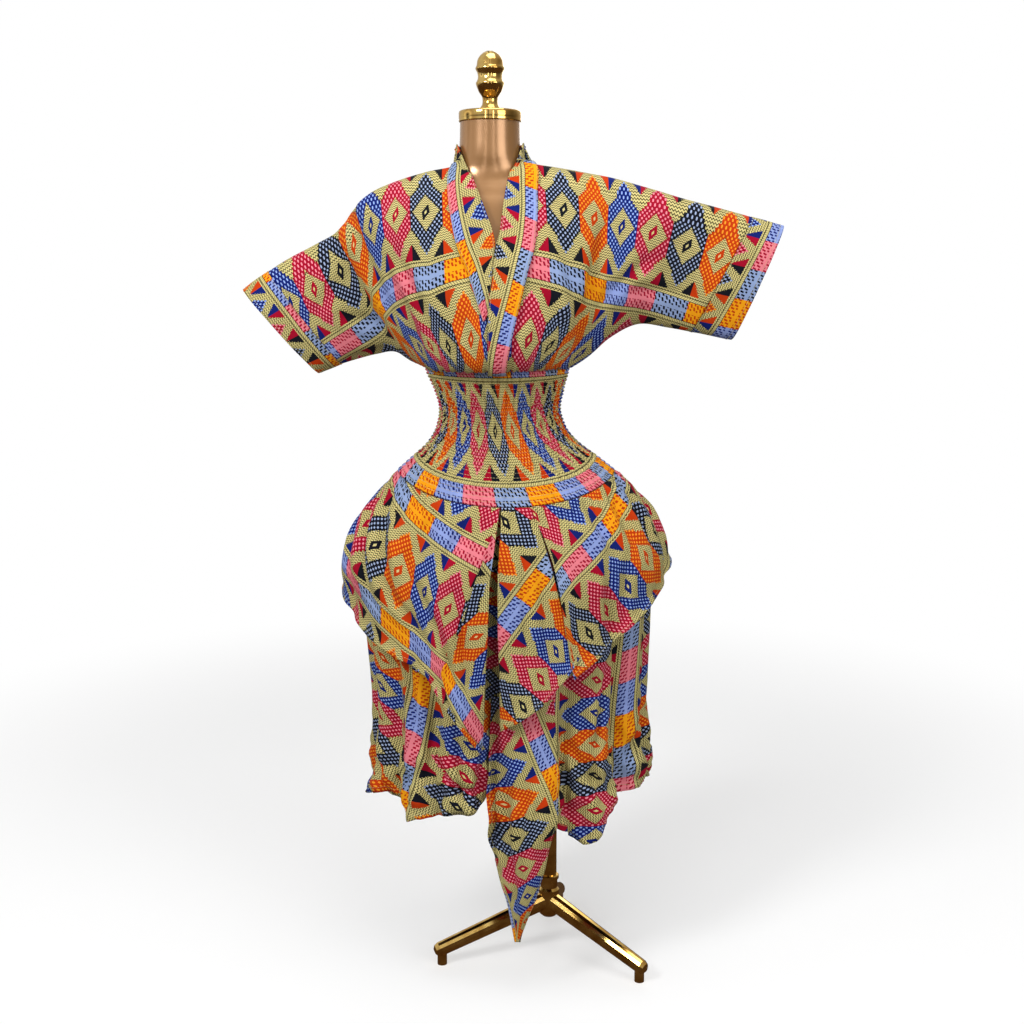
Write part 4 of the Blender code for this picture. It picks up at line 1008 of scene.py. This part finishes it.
for name, table, node, on_top, shown in (
    ("band_under", LEFT_BAND, "neck_band_left", False, 0.025),
    ("band_over", RIGHT_BAND, "neck_band_right", True, 0.019),
):
    rows, columns, step = 84, 11, 0.001
    points = np.zeros((rows, columns, 3))
    for i in range(rows):
        edge_row = Edge(*smooth_rows(table, (len(table) - 1) * i / (rows - 1)))
        for j in range(columns):
            across = j / (columns - 1)
            x = edge_row.inner_x + (edge_row.outer_x - edge_row.inner_x) * across
            z = edge_row.inner_z + (edge_row.outer_z - edge_row.inner_z) * across
            here = band_skin(x, z)
            slope_x = (band_skin(x + step, z) - band_skin(x - step, z)) / (2 * step)
            slope_z = (band_skin(x, z + step) - band_skin(x, z - step)) / (2 * step)
            out = np.array([np.clip(slope_x, -0.8, 0.8), -1.0, np.clip(slope_z, -2.0, 1.2)])
            out /= np.linalg.norm(out)
            lift = BAND_LIFT + BAND_THICKNESS
            if on_top:
                lift += (BAND_THICKNESS + BAND_LIFT) * ramp(z, *CROSSING)
            lift += SHOULDER_LIFT * ramp(z, *SHOULDER_RISE) + WAIST_LIFT * ramp(z, *WAIST_RISE)
            lift += BAND_SWELL * math.sin(math.pi * across)
            points[i, j] = np.array([x, here, z]) + out * lift
    across, down = flat_lengths(points, 0)
    width = across[:, -1:]
    u_map = down if on_top else -down
    v_map = shown + (width - across)
    u_map = np.repeat(u_map[:, columns // 2 : columns // 2 + 1], columns, axis=1)
    u_map = u_map + PITCH * (0.0 if on_top else 5.42)
    piece = cloth(name, points, (u_map, v_map), flip=table is LEFT_BAND, thickness=BAND_THICKNESS)
    declare(piece, [node])
    down_band = np.linspace(0.0, rows - 1.0, 120)
    sew(name + "_stitches", [seam_run(points, down_band, edge, not on_top) for edge in BAND_STITCH_COLUMNS])

rows, columns = 72, 9
points = np.zeros((rows, columns, 3))
angles = np.unwrap(np.radians([row.angle for row in COLLAR]))
for i in range(rows):
    at = (len(COLLAR) - 1) * i / (rows - 1)
    row = CollarRow(*smooth_rows(COLLAR, at))
    turn = float(np.interp(at, range(len(COLLAR)), angles))
    for j in range(columns):
        across = j / (columns - 1)
        radius = row.upper_radius + (row.lower_radius - row.upper_radius) * across
        radius += COLLAR_SWELL * math.sin(math.pi * across)
        z = row.upper_z + (row.lower_z - row.upper_z) * across
        points[i, j] = (NECK_X + radius * math.sin(turn), -radius * math.cos(turn), z)
across, down = flat_lengths(points, 0)
print_uv = (down + COLLAR_PRINT[0], COLLAR_PRINT[1] + across)
piece = cloth("band_round_neck", points, print_uv, flip=True, thickness=COLLAR_THICKNESS)
declare(piece, ["collar_band"])


# Cuffs: a straight strip sewn round each sleeve's end. On the viewer's left its blocks are at the
# seam, on the right they are at the edge. Each sags a little between its seams.
CUFF_THICKNESS = 0.0018
CUFF_STITCH_ROWS = (0.6, 12.6)
for name, lines, node, first, shift in (
    ("cuff_strip_left", LEFT_LINES, "cuff_left", 0.029, 1.34),
    ("cuff_strip_right", RIGHT_LINES, "cuff_right", 0.184, 2.0),
):
    rows, half = 16, 56
    start, end = cuff_row(lines) + 0.004, len(lines) - 1.0
    points = np.zeros((rows, 2 * half, 3))
    for i in range(rows):
        row = start + (end - start) * i / (rows - 1)
        for j in range(2 * half):
            back = j > half
            share = (2 * half - j) / half if back else j / half
            points[i, j] = bodice_point(lines, row, share, back)
    across, down = flat_lengths(points, 0, closed=True)
    left_side = lines is LEFT_LINES
    points = pushed(points, rumple(points, 0.045, 0.0030), True, not left_side)
    u_map = np.repeat(across[:1], rows, axis=0) + PITCH * shift
    print_uv = (u_map, first + down)
    piece = cloth(name, points, print_uv, closed=True, flip=not left_side, thickness=CUFF_THICKNESS)
    declare(piece, [node])
    ring = closed_ring(points)
    round_cuff = np.linspace(0.0, 2.0 * half, 240)
    sew(name + "_stitches", [seam_run(ring, line, round_cuff, not left_side) for line in CUFF_STITCH_ROWS])


# Waist: the same print drawn up to under half its width on rows of elastic thread, so that the
# lozenges are pressed narrow and the cloth puckers between the rows.
WAIST_TOP = 1.0945
WAIST_LOW_SIDE = 0.912
WAIST_DIP_FRONT = 0.045
WAIST_DIP_BACK = 0.022
WAIST_REPEATS = 6
WAIST_SLANT = 1.0
SHIRR_ROWS = 30
PUCKER = 0.0034
WAIST_SET_IN = 0.0012
ROW_SWELL = 0.0008
PUCKERS = (92, 57)
WAIST_PRINT_SHIFT = 0.8
WAIST_PRINT_ROWS = (0.023, 0.250)
WAIST_THICKNESS = 0.0008
ELASTIC_STITCH = {"pitch": 0.0050, "length": 0.0034, "radius": 0.00034}
WAIST = [Section(*row) for row in (
    (1.0945, -0.025, 0.123, 0.0985, 0.0925), (1.086, -0.025, 0.122, 0.098, 0.092),
    (1.05, -0.022, 0.11, 0.088, 0.085), (1.018, -0.0207, 0.1035, 0.0825, 0.082),
    (0.985, -0.0185, 0.1115, 0.087, 0.089), (0.96, -0.015, 0.13, 0.097, 0.101),
    (0.937, -0.012, 0.158, 0.11, 0.116), (0.912, -0.01, 0.188, 0.124, 0.131),
    (0.885, -0.008, 0.2125, 0.136, 0.145), (0.841, -0.008, 0.25, 0.155, 0.165),
)]


def waist_low(angle):
    """Height of the seam between waist panel and skirts, which dips at the front and the back."""
    facing = math.cos(math.radians(angle))
    return WAIST_LOW_SIDE - (WAIST_DIP_FRONT if facing > 0 else WAIST_DIP_BACK) * facing**2


rows, columns = 91, 520
points = np.zeros((rows, columns, 3))
for i in range(rows):
    share = i / (rows - 1)
    for j in range(columns):
        angle = 360.0 * j / columns - 180.0
        fine, coarse = (j * 2 * math.pi * count / columns for count in PUCKERS)
        ripple = 0.62 * math.sin(fine + 1.2 * math.sin(j * 0.11 + 9 * share))
        ripple += 0.38 * math.sin(coarse + 2.0 + 1.5 * math.sin(j * 0.05 - 7 * share))
        pinch = abs(math.sin(math.pi * share * SHIRR_ROWS)) ** 0.5
        lift = -WAIST_SET_IN + PUCKER * ripple * (0.30 + 0.70 * pinch) + ROW_SWELL * (pinch - 0.6)
        height = WAIST_TOP + (waist_low(angle) - WAIST_TOP) * share
        points[i, j] = round_point(WAIST, angle, height, lift)
u_map = np.repeat(np.linspace(0.0, WAIST_REPEATS * 4 * PITCH, columns + 1)[None, :], rows, axis=0)
u_map = u_map + PITCH * (WAIST_PRINT_SHIFT - WAIST_SLANT * (np.linspace(0.0, 1.0, rows)[:, None] - 0.5))
v_map = np.repeat(np.linspace(*WAIST_PRINT_ROWS, rows)[:, None], columns + 1, axis=1)
piece = cloth("shirred_waist", points, (u_map, v_map), closed=True, thickness=WAIST_THICKNESS)
declare(piece, ["waist_panel"])
ring = closed_ring(points)
round_waist = np.arange(columns + 1.0)
sew("shirring_threads", [
    seam_run(ring, (rows - 1.0) * k / SHIRR_ROWS, round_waist, lift=0.0002) for k in range(1, SHIRR_ROWS)
], **ELASTIC_STITCH)


# Underskirt: the full inner skirt, gathered to the waist seam. Its folds deepen down to an uneven,
# crumpled hem, and the print runs up and down on it.
UNDERSKIRT = [Section(*row) for row in (
    (0.912, -0.01, 0.188, 0.124, 0.131), (0.885, -0.008, 0.206, 0.13, 0.139),
    (0.841, -0.008, 0.227, 0.142, 0.152), (0.788, -0.009, 0.242, 0.152, 0.161),
    (0.74, -0.009, 0.25, 0.158, 0.166), (0.68, -0.008, 0.256, 0.163, 0.17),
    (0.5, -0.004, 0.248, 0.17, 0.176), (0.38, -0.002, 0.256, 0.178, 0.184),
    (0.26, -0.001, 0.264, 0.186, 0.192),
)]
Fold = namedtuple("Fold", "angle half_width height")
UNDER_FOLDS = [Fold(*row) for row in (
    (-6.0, 5.5, -0.048), (-20.0, 5.0, 0.006), (-31.0, 4.0, -0.016), (-42.0, 5.0, 0.008),
    (-53.0, 4.0, -0.018), (-64.0, 5.0, 0.006), (-76.0, 4.5, -0.014), (-100.0, 5.0, -0.018),
    (-122.0, 6.0, -0.016), (-124.0, 5.0, -0.02), (-165.0, 5.0, 0.006), (12.0, 5.0, 0.004),
    (24.0, 3.5, -0.022), (36.0, 6.0, 0.016), (49.0, 3.5, -0.024), (63.0, 5.0, 0.006), (76.0, 4.5, -0.016),
    (98.0, 5.0, -0.016), (118.0, 6.0, -0.018), (142.0, 5.0, -0.02), (160.0, 5.0, 0.006),
    (178.0, 5.0, -0.018),
)]
HemPoint = namedtuple("HemPoint", "angle height")
UNDER_HEM = [HemPoint(*row) for row in (
    (-180, 0.3), (-160, 0.335), (-140, 0.318), (-120, 0.292), (-105, 0.33), (-88, 0.33), (-74, 0.346),
    (-60, 0.36), (-47, 0.356), (-44, 0.322), (-38, 0.332), (-22, 0.346), (-13, 0.35), (-10, 0.378),
    (-2, 0.39), (10, 0.35), (20, 0.318), (28, 0.292), (33, 0.3), (39, 0.345), (47, 0.368), (66, 0.372),
    (90, 0.362), (108, 0.33), (126, 0.292), (144, 0.322), (162, 0.336), (180, 0.3),
)]
SKIRT_SEAM = 0.0007
UNDER_SET_IN = 0.0045
HEM_REACH = 0.20
CRUMPLE_SIZE = 0.035
CRUMPLE_DEPTH = 0.017
LEFT_LOZENGE = (-0.225, 0.546)
RIGHT_LOZENGE = (0.143, 0.575)
PRINT_MEETS = 0.012
UNDER_CREASES = [Crease(*row) for row in (
    (-0.34, 0.46, -0.28, 0.58, 0.012, 0.01), (-0.25, 0.44, -0.2, 0.56, 0.01, 0.009),
    (-0.19, 0.43, -0.1, 0.5, 0.009, 0.01), (-0.15, 0.5, -0.06, 0.47, 0.009, 0.008),
    (-0.215, 0.28, -0.2, 0.45, 0.01, 0.01), (-0.165, 0.35, -0.185, 0.52, 0.009, 0.009),
    (-0.12, 0.36, -0.115, 0.53, 0.01, 0.011), (-0.072, 0.4, -0.085, 0.54, 0.008, 0.008),
    (0.34, 0.42, 0.26, 0.5, 0.011, 0.009), (0.22, 0.3, 0.16, 0.48, 0.01, 0.01),
    (0.12, 0.4, 0.2, 0.55, 0.01, 0.009), (0.15, 0.34, 0.17, 0.5, 0.009, 0.009),
    (0.108, 0.38, 0.112, 0.55, 0.009, 0.009), (0.24, 0.38, 0.215, 0.5, 0.009, 0.008),
)]


def hem_height(table, angle):
    return float(np.interp(angle, [p.angle for p in table], [p.height for p in table]))


def fold_lift(folds, angle, share):
    """How far the folds move the cloth out at an angle, with share 0 at the waist and 1 at the hem."""
    total = 0.0
    for fold in folds:
        away = (angle - fold.angle + 180.0) % 360.0 - 180.0
        if abs(away) < 3.2 * fold.half_width:
            total += fold.height * math.exp(-((away / fold.half_width) ** 2))
    return total * share**0.8


def under_lift(angle, height):
    top, hem = waist_low(angle), hem_height(UNDER_HEM, angle)
    share = min(max((top - height) / (top - hem), 0.0), 1.0)
    return fold_lift(UNDER_FOLDS, angle, share) - UNDER_SET_IN


rows, columns = 84, 420
points = np.zeros((rows, columns, 3))
for j in range(columns):
    angle = 360.0 * j / columns - 180.0
    top = waist_low(angle) - SKIRT_SEAM
    hem = hem_height(UNDER_HEM, angle)
    for i in range(rows):
        height = top + (hem - top) * i / (rows - 1)
        points[i, j] = round_point(UNDERSKIRT, angle, height, under_lift(angle, height))
across, down = flat_lengths(points, columns // 2, closed=True)
middle_across = np.repeat(across[rows * 2 // 3][None, :], rows, axis=0)
left_spot = nearest(points, *LEFT_LOZENGE)
right_spot = nearest(points, *RIGHT_LOZENGE)
left_lay = lay_print(middle_across, down, 101.0, (middle_across[left_spot], down[left_spot]), 2)
right_lay = lay_print(middle_across, down, -86.0, (middle_across[right_spot], down[right_spot]), 3)
on_right = middle_across > PRINT_MEETS
print_uv = [np.where(on_right, there, here) for here, there in zip(left_lay, right_lay)]
push = crease_depth(UNDER_CREASES, middle_across[:, :columns], down[:, :columns])
points = pushed(points, push, True, False)
near_hem = np.clip(1 - (down[-1:, :columns] - down[:, :columns]) / HEM_REACH, 0.0, 1.0) ** 1.5
crumples = rumple(points, CRUMPLE_SIZE, CRUMPLE_DEPTH) * near_hem
crumples = crumples + rumple(points, CRUMPLE_SIZE * 0.45, CRUMPLE_DEPTH * 0.4) * near_hem
points = pushed(points, crumples, True, False)
piece = cloth("inner_skirt", points, print_uv, closed=True)
declare(piece, ["underskirt"])
ring = closed_ring(points)
sew("inner_hem_stitches", [seam_run(ring, rows - 2.4, np.linspace(0.0, columns, 900))], **HEM_STITCH)


# Long corner: a handkerchief point that hangs from the inner skirt at the front, folded in soft
# flutes that close towards its tip.
CLEAR_HEIGHTS = [0.40, 0.44, 0.485, 0.52]
CLEARANCES = [0.0024, 0.0060, 0.0060, 0.0016]
CORNER_WIDTH = 0.135
PointRow = namedtuple("PointRow", "height left right depth crease")
FRONT_POINT = [PointRow(*row) for row in (
    (0.545, -0.034, 0.07, -0.001, 0.0), (0.5, -0.036, 0.073, -0.001, 0.0), (0.45, -0.038, 0.076, 0.0, 0.0),
    (0.4, -0.0414, 0.0796, 0.005, 0.004), (0.35, -0.042, 0.075, 0.009, 0.007),
    (0.305, -0.0383, 0.066, 0.011, 0.008), (0.245, -0.0225, 0.05, 0.013, 0.007),
    (0.19, -0.007, 0.031, 0.013, 0.004), (0.13, 0.004, 0.014, 0.013, 0.0),
)]
POINT_CREASES = [Crease(*row) for row in (
    (0.03, 0.02, 0.05, 0.27, 0.009, 0.006), (0.075, 0.03, 0.06, 0.2, 0.008, 0.005),
    (0.02, 0.1, 0.03, 0.22, 0.006, 0.004), (0.1, 0.06, 0.08, 0.18, 0.007, 0.005),
)]
rows, columns = 128, 44
points = np.zeros((rows, columns, 3))
for i in range(rows):
    row = PointRow(*smooth_rows(FRONT_POINT, (len(FRONT_POINT) - 1) * i / (rows - 1)))
    for j in range(columns):
        share = j / (columns - 1)
        x = row.left + (row.right - row.left) * share
        section = section_at(UNDERSKIRT, row.height)
        angle = math.degrees(math.asin((x - section.centre_x) / section.half_width))
        height = max(row.height, 0.40)
        nearby = max(under_lift(angle + apart, height) for apart in (-2.0, 0.0, 2.0))
        skin = round_point(UNDERSKIRT, angle, height, nearby)
        bend = row.crease * (1 - math.cos(2 * math.pi * (share - 0.25)))
        clear = float(np.interp(row.height, CLEAR_HEIGHTS, CLEARANCES))
        points[i, j] = (x, skin[1] - row.depth - clear - bend, row.height)
across, down = flat_lengths(points, 0)
wide = np.repeat((np.arange(columns) / (columns - 1) * CORNER_WIDTH)[None, :], rows, axis=0)
spot = nearest(points, 0.002, 0.314)
print_uv = lay_print(wide, down, -114.0, (wide[spot], down[spot]), 0)
edge = np.clip((np.arange(rows) - 24) / 16.0, 0.0, 1.0)[:, None]
push = (crease_depth(POINT_CREASES, wide, down - 0.095) + rumple(points, 0.045, 0.006)) * edge
points = pushed(points, push, False, False)
piece = cloth("long_corner", points, print_uv)
declare(piece, ["front_point"])
down_corner = np.linspace(28.0, rows - 6.0, 200)
sew("corner_stitches", [seam_run(points, down_corner, side) for side in (1.4, columns - 2.4)])


# Overskirt: draped panels over the inner skirt, full at the hips and tucked in below. The print lies
# aslant on them: down towards the middle on the viewer's left, up towards the side on the right.
OVERSKIRT = WAIST[-3:] + [Section(*row) for row in (
    (0.788, -0.01, 0.279, 0.172, 0.182), (0.745, -0.012, 0.286, 0.18, 0.19),
    (0.7, -0.012, 0.278, 0.184, 0.193), (0.6, -0.011, 0.27, 0.19, 0.196), (0.43, -0.009, 0.268, 0.196, 0.2),
)]
OVER_FOLDS = [Fold(*row) for row in (
    (-22.0, 6.0, 0.005), (-35.0, 3.5, -0.008), (-50.0, 7.0, 0.004), (-72.0, 5.0, -0.008),
    (-105.0, 6.0, -0.01), (-135.0, 7.0, -0.01), (-160.0, 6.0, 0.004), (6.0, 5.0, 0.004), (22.0, 4.0, 0.006),
    (42.0, 4.5, -0.01), (60.0, 6.0, 0.004), (78.0, 4.5, -0.01), (108.0, 6.0, -0.01), (138.0, 7.0, -0.01),
    (162.0, 6.0, 0.004),
)]
LEFT_HEM = [HemPoint(*row) for row in (
    (-180, 0.47), (-150, 0.56), (-120, 0.655), (-90, 0.705), (-62, 0.655), (-28, 0.588), (-9, 0.455),
    (0, 0.45),
)]
INSET_HEM = [HemPoint(-4, 0.492), HemPoint(14, 0.546), HemPoint(30, 0.640)]
RIGHT_HEM = [HemPoint(*row) for row in (
    (8, 0.72), (13, 0.7), (24, 0.586), (40, 0.632), (62, 0.7), (90, 0.757), (120, 0.675), (150, 0.57),
    (180, 0.47),
)]
EDGE_TURN_IN = 0.018
SKIRT_GATHERS = 0.0130
SKIRT_GATHER_DEPTH = 0.0034
TURNING_COLUMNS = 30
HEM_FLARE = 0.006
OVER_CLEARANCE = 0.0075
LEFT_SKIRT_CREASES = [Crease(*row) for row in (
    (-0.045, 0.02, -0.085, 0.11, 0.009, 0.006), (-0.095, 0.005, -0.15, 0.12, 0.01, 0.007),
    (-0.15, 0.015, -0.215, 0.09, 0.009, 0.006), (-0.23, 0.01, -0.205, 0.19, 0.013, 0.011),
    (-0.285, 0.03, -0.262, 0.21, 0.012, 0.01), (-0.345, 0.02, -0.33, 0.18, 0.013, 0.009),
    (-0.055, 0.15, -0.04, 0.33, 0.01, 0.007), (-0.165, 0.12, -0.085, 0.27, 0.011, 0.006),
    (-0.24, 0.15, -0.15, 0.24, 0.01, 0.006), (-0.11, 0.19, -0.07, 0.3, 0.008, 0.004),
)]
RIGHT_SKIRT_CREASES = [Crease(*row) for row in (
    (0.085, 0.005, 0.14, 0.11, 0.009, 0.007), (0.15, 0.01, 0.185, 0.13, 0.01, 0.007),
    (0.205, 0.01, 0.235, 0.15, 0.012, 0.011), (0.275, 0.005, 0.3, 0.13, 0.012, 0.01),
    (0.345, 0.02, 0.35, 0.14, 0.013, 0.008), (0.12, 0.11, 0.105, 0.26, 0.01, 0.006),
    (0.165, 0.12, 0.13, 0.24, 0.009, 0.005), (0.17, 0.05, 0.225, 0.18, 0.011, 0.006),
)]
INSET_CREASES = [Crease(*row) for row in (
    (0.03, 0.06, 0.038, 0.3, 0.007, 0.005), (0.062, 0.1, 0.08, 0.28, 0.008, 0.005),
)]


# The left overskirt's inner edge is turned back on itself: how wide the turning is, from the waist down.
Turning = namedtuple("Turning", "share width")
TURNING = [Turning(*row) for row in (
    (0.1, 0.006), (0.2, 0.015), (0.36, 0.031), (0.52, 0.05), (0.7, 0.083), (0.85, 0.108), (0.97, 0.09),
)]
TURNING_LIFT = 0.0018
TURNING_ROLL = 0.0030


def over_lift(angle, height, hem):
    """The overskirts' folds, kept clear of the inner skirt beneath them."""
    top = waist_low(angle)
    share = min(max((top - height) / max(top - hem, 0.05), 0.0), 1.0)
    wanted = fold_lift(OVER_FOLDS, angle, share)
    outer, inner = section_at(OVERSKIRT, height), section_at(UNDERSKIRT, height)
    room = min(outer.half_width - inner.half_width, outer.front - inner.front)
    clearance = OVER_CLEARANCE * min(1.0, (top - height) / 0.03)
    return max(wanted, under_lift(angle, height) + clearance - room)


Panel = namedtuple(
    "Panel", "name node hems start_top start_low end_top end_low columns rows sink turn_in creases "
    "turn cell anchor_x anchor_z cut_width cut_length",
)
for panel in (
    Panel("overskirt_cloth_left", "overskirt_left", LEFT_HEM, -179.9, -179.9, -3.2, -9.4, 300, 72, 0.0,
          (0.0, EDGE_TURN_IN), LEFT_SKIRT_CREASES, 21.0, 1, -0.188, 0.758, 0.95, 0.47),
    Panel("overskirt_cloth_right", "overskirt_right", RIGHT_HEM, 9.0, 24.0, 179.9, 179.9, 290, 64, 0.0,
          (0.0, 0.0), RIGHT_SKIRT_CREASES, 150.0, 3, 0.158, 0.694, 0.95, 0.45),
    Panel("overskirt_cloth_middle", "overskirt_inset", INSET_HEM, -2.4, -2.4, 10.6, 26.5, 60, 72, 0.0034,
          (EDGE_TURN_IN, 0.0), INSET_CREASES, 129.0, 3, 0.047, 0.586, 0.16, 0.42),
):
    points = np.zeros((panel.rows, panel.columns, 3))
    for i in range(panel.rows):
        share = i / (panel.rows - 1)
        first = panel.start_top + (panel.start_low - panel.start_top) * share
        last = panel.end_top + (panel.end_low - panel.end_top) * share
        for j in range(panel.columns):
            across = j / (panel.columns - 1)
            angle = first + (last - first) * across
            top = waist_low(angle) - SKIRT_SEAM
            hem = hem_height(panel.hems, angle)
            height = top + (hem - top) * share
            lift = over_lift(angle, height, hem) - panel.sink * min(1.0, share * 4)
            lift += HEM_FLARE * max(0.0, (share - 0.92) / 0.08) ** 1.5
            lift -= panel.turn_in[0] * share * max(0.0, 1 - abs(angle - first) / 9.0) ** 2
            lift -= panel.turn_in[1] * share * max(0.0, 1 - abs(last - angle) / 9.0) ** 2
            points[i, j] = round_point(OVERSKIRT, angle, height, lift)
    halfway = points[panel.rows // 2]
    front_column = int(np.argmin(np.abs(halfway[:, 0] + 0.010) + (halfway[:, 1] > 0)))
    across, down = flat_lengths(points, front_column)
    spot = nearest(points, panel.anchor_x, panel.anchor_z)
    print_uv = lay_print(across, down, panel.turn, (across[spot], down[spot]), panel.cell)
    near_top = np.clip(1 - down / GATHERED_REACH, 0.0, 1.0) ** 1.2
    top_gathers = SKIRT_GATHER_DEPTH * gathers(across, SKIRT_GATHERS) * near_top
    edge = np.minimum(1.0, np.arange(panel.rows) / 3.0)[:, None]
    push = (crease_depth(panel.creases, across, down) + top_gathers + rumple(points, 0.08, 0.0035)) * edge
    points = pushed(points, push, False, False)
    piece = cloth(panel.name, points, print_uv)
    last_row = panel.rows - 1.0
    last_column = panel.columns - 1.0
    sewn_lines = [seam_run(points, last_row - 1.8, np.linspace(0.0, last_column, 500))]
    if panel.node == "overskirt_left":
        shares = np.linspace(TURNING[0].share, TURNING[-1].share, 70)
        widths = np.interp(shares, [t.share for t in TURNING], [t.width for t in TURNING])
        turned_points, turned_across, turned_down = [], [], []
        for share, width in zip(shares, widths):
            row = min(share * last_row, last_row - 1.0)
            part = row - int(row)
            line = across[int(row)] * (1 - part) + across[int(row) + 1] * part
            fallen = down[int(row)] * (1 - part) + down[int(row) + 1] * part
            inward = width * np.linspace(1.0, 0.0, TURNING_COLUMNS)
            places = np.interp(line[-1] - inward, line, np.arange(panel.columns))
            from_fold = np.linspace(0.0, 1.0, TURNING_COLUMNS) * width
            roll = TURNING_LIFT + TURNING_ROLL * np.exp(-((from_fold / 0.006) ** 2))
            flat = seam_run(points, row, places, lift=0.0)
            turned_points.append(flat + (seam_run(points, row, places, lift=1.0) - flat) * roll[:, None])
            turned_across.append(np.interp(places, np.arange(panel.columns), line))
            turned_down.append(np.interp(places, np.arange(panel.columns), fallen[: panel.columns]))
        turned_points = np.array(turned_points)
        turned_across, turned_down = np.array(turned_across), np.array(turned_down)
        spot = nearest(turned_points, -0.086, 0.549)
        anchor = (turned_across[spot], turned_down[spot])
        turned_uv = lay_print(turned_across, turned_down, 47.0, anchor, 2, 0.024)
        turning = cloth("turned_edge", turned_points, turned_uv)
        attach(turning, "root")
    declare(piece, [panel.node])
    sew(panel.name + "_stitches", sewn_lines, **HEM_STITCH)
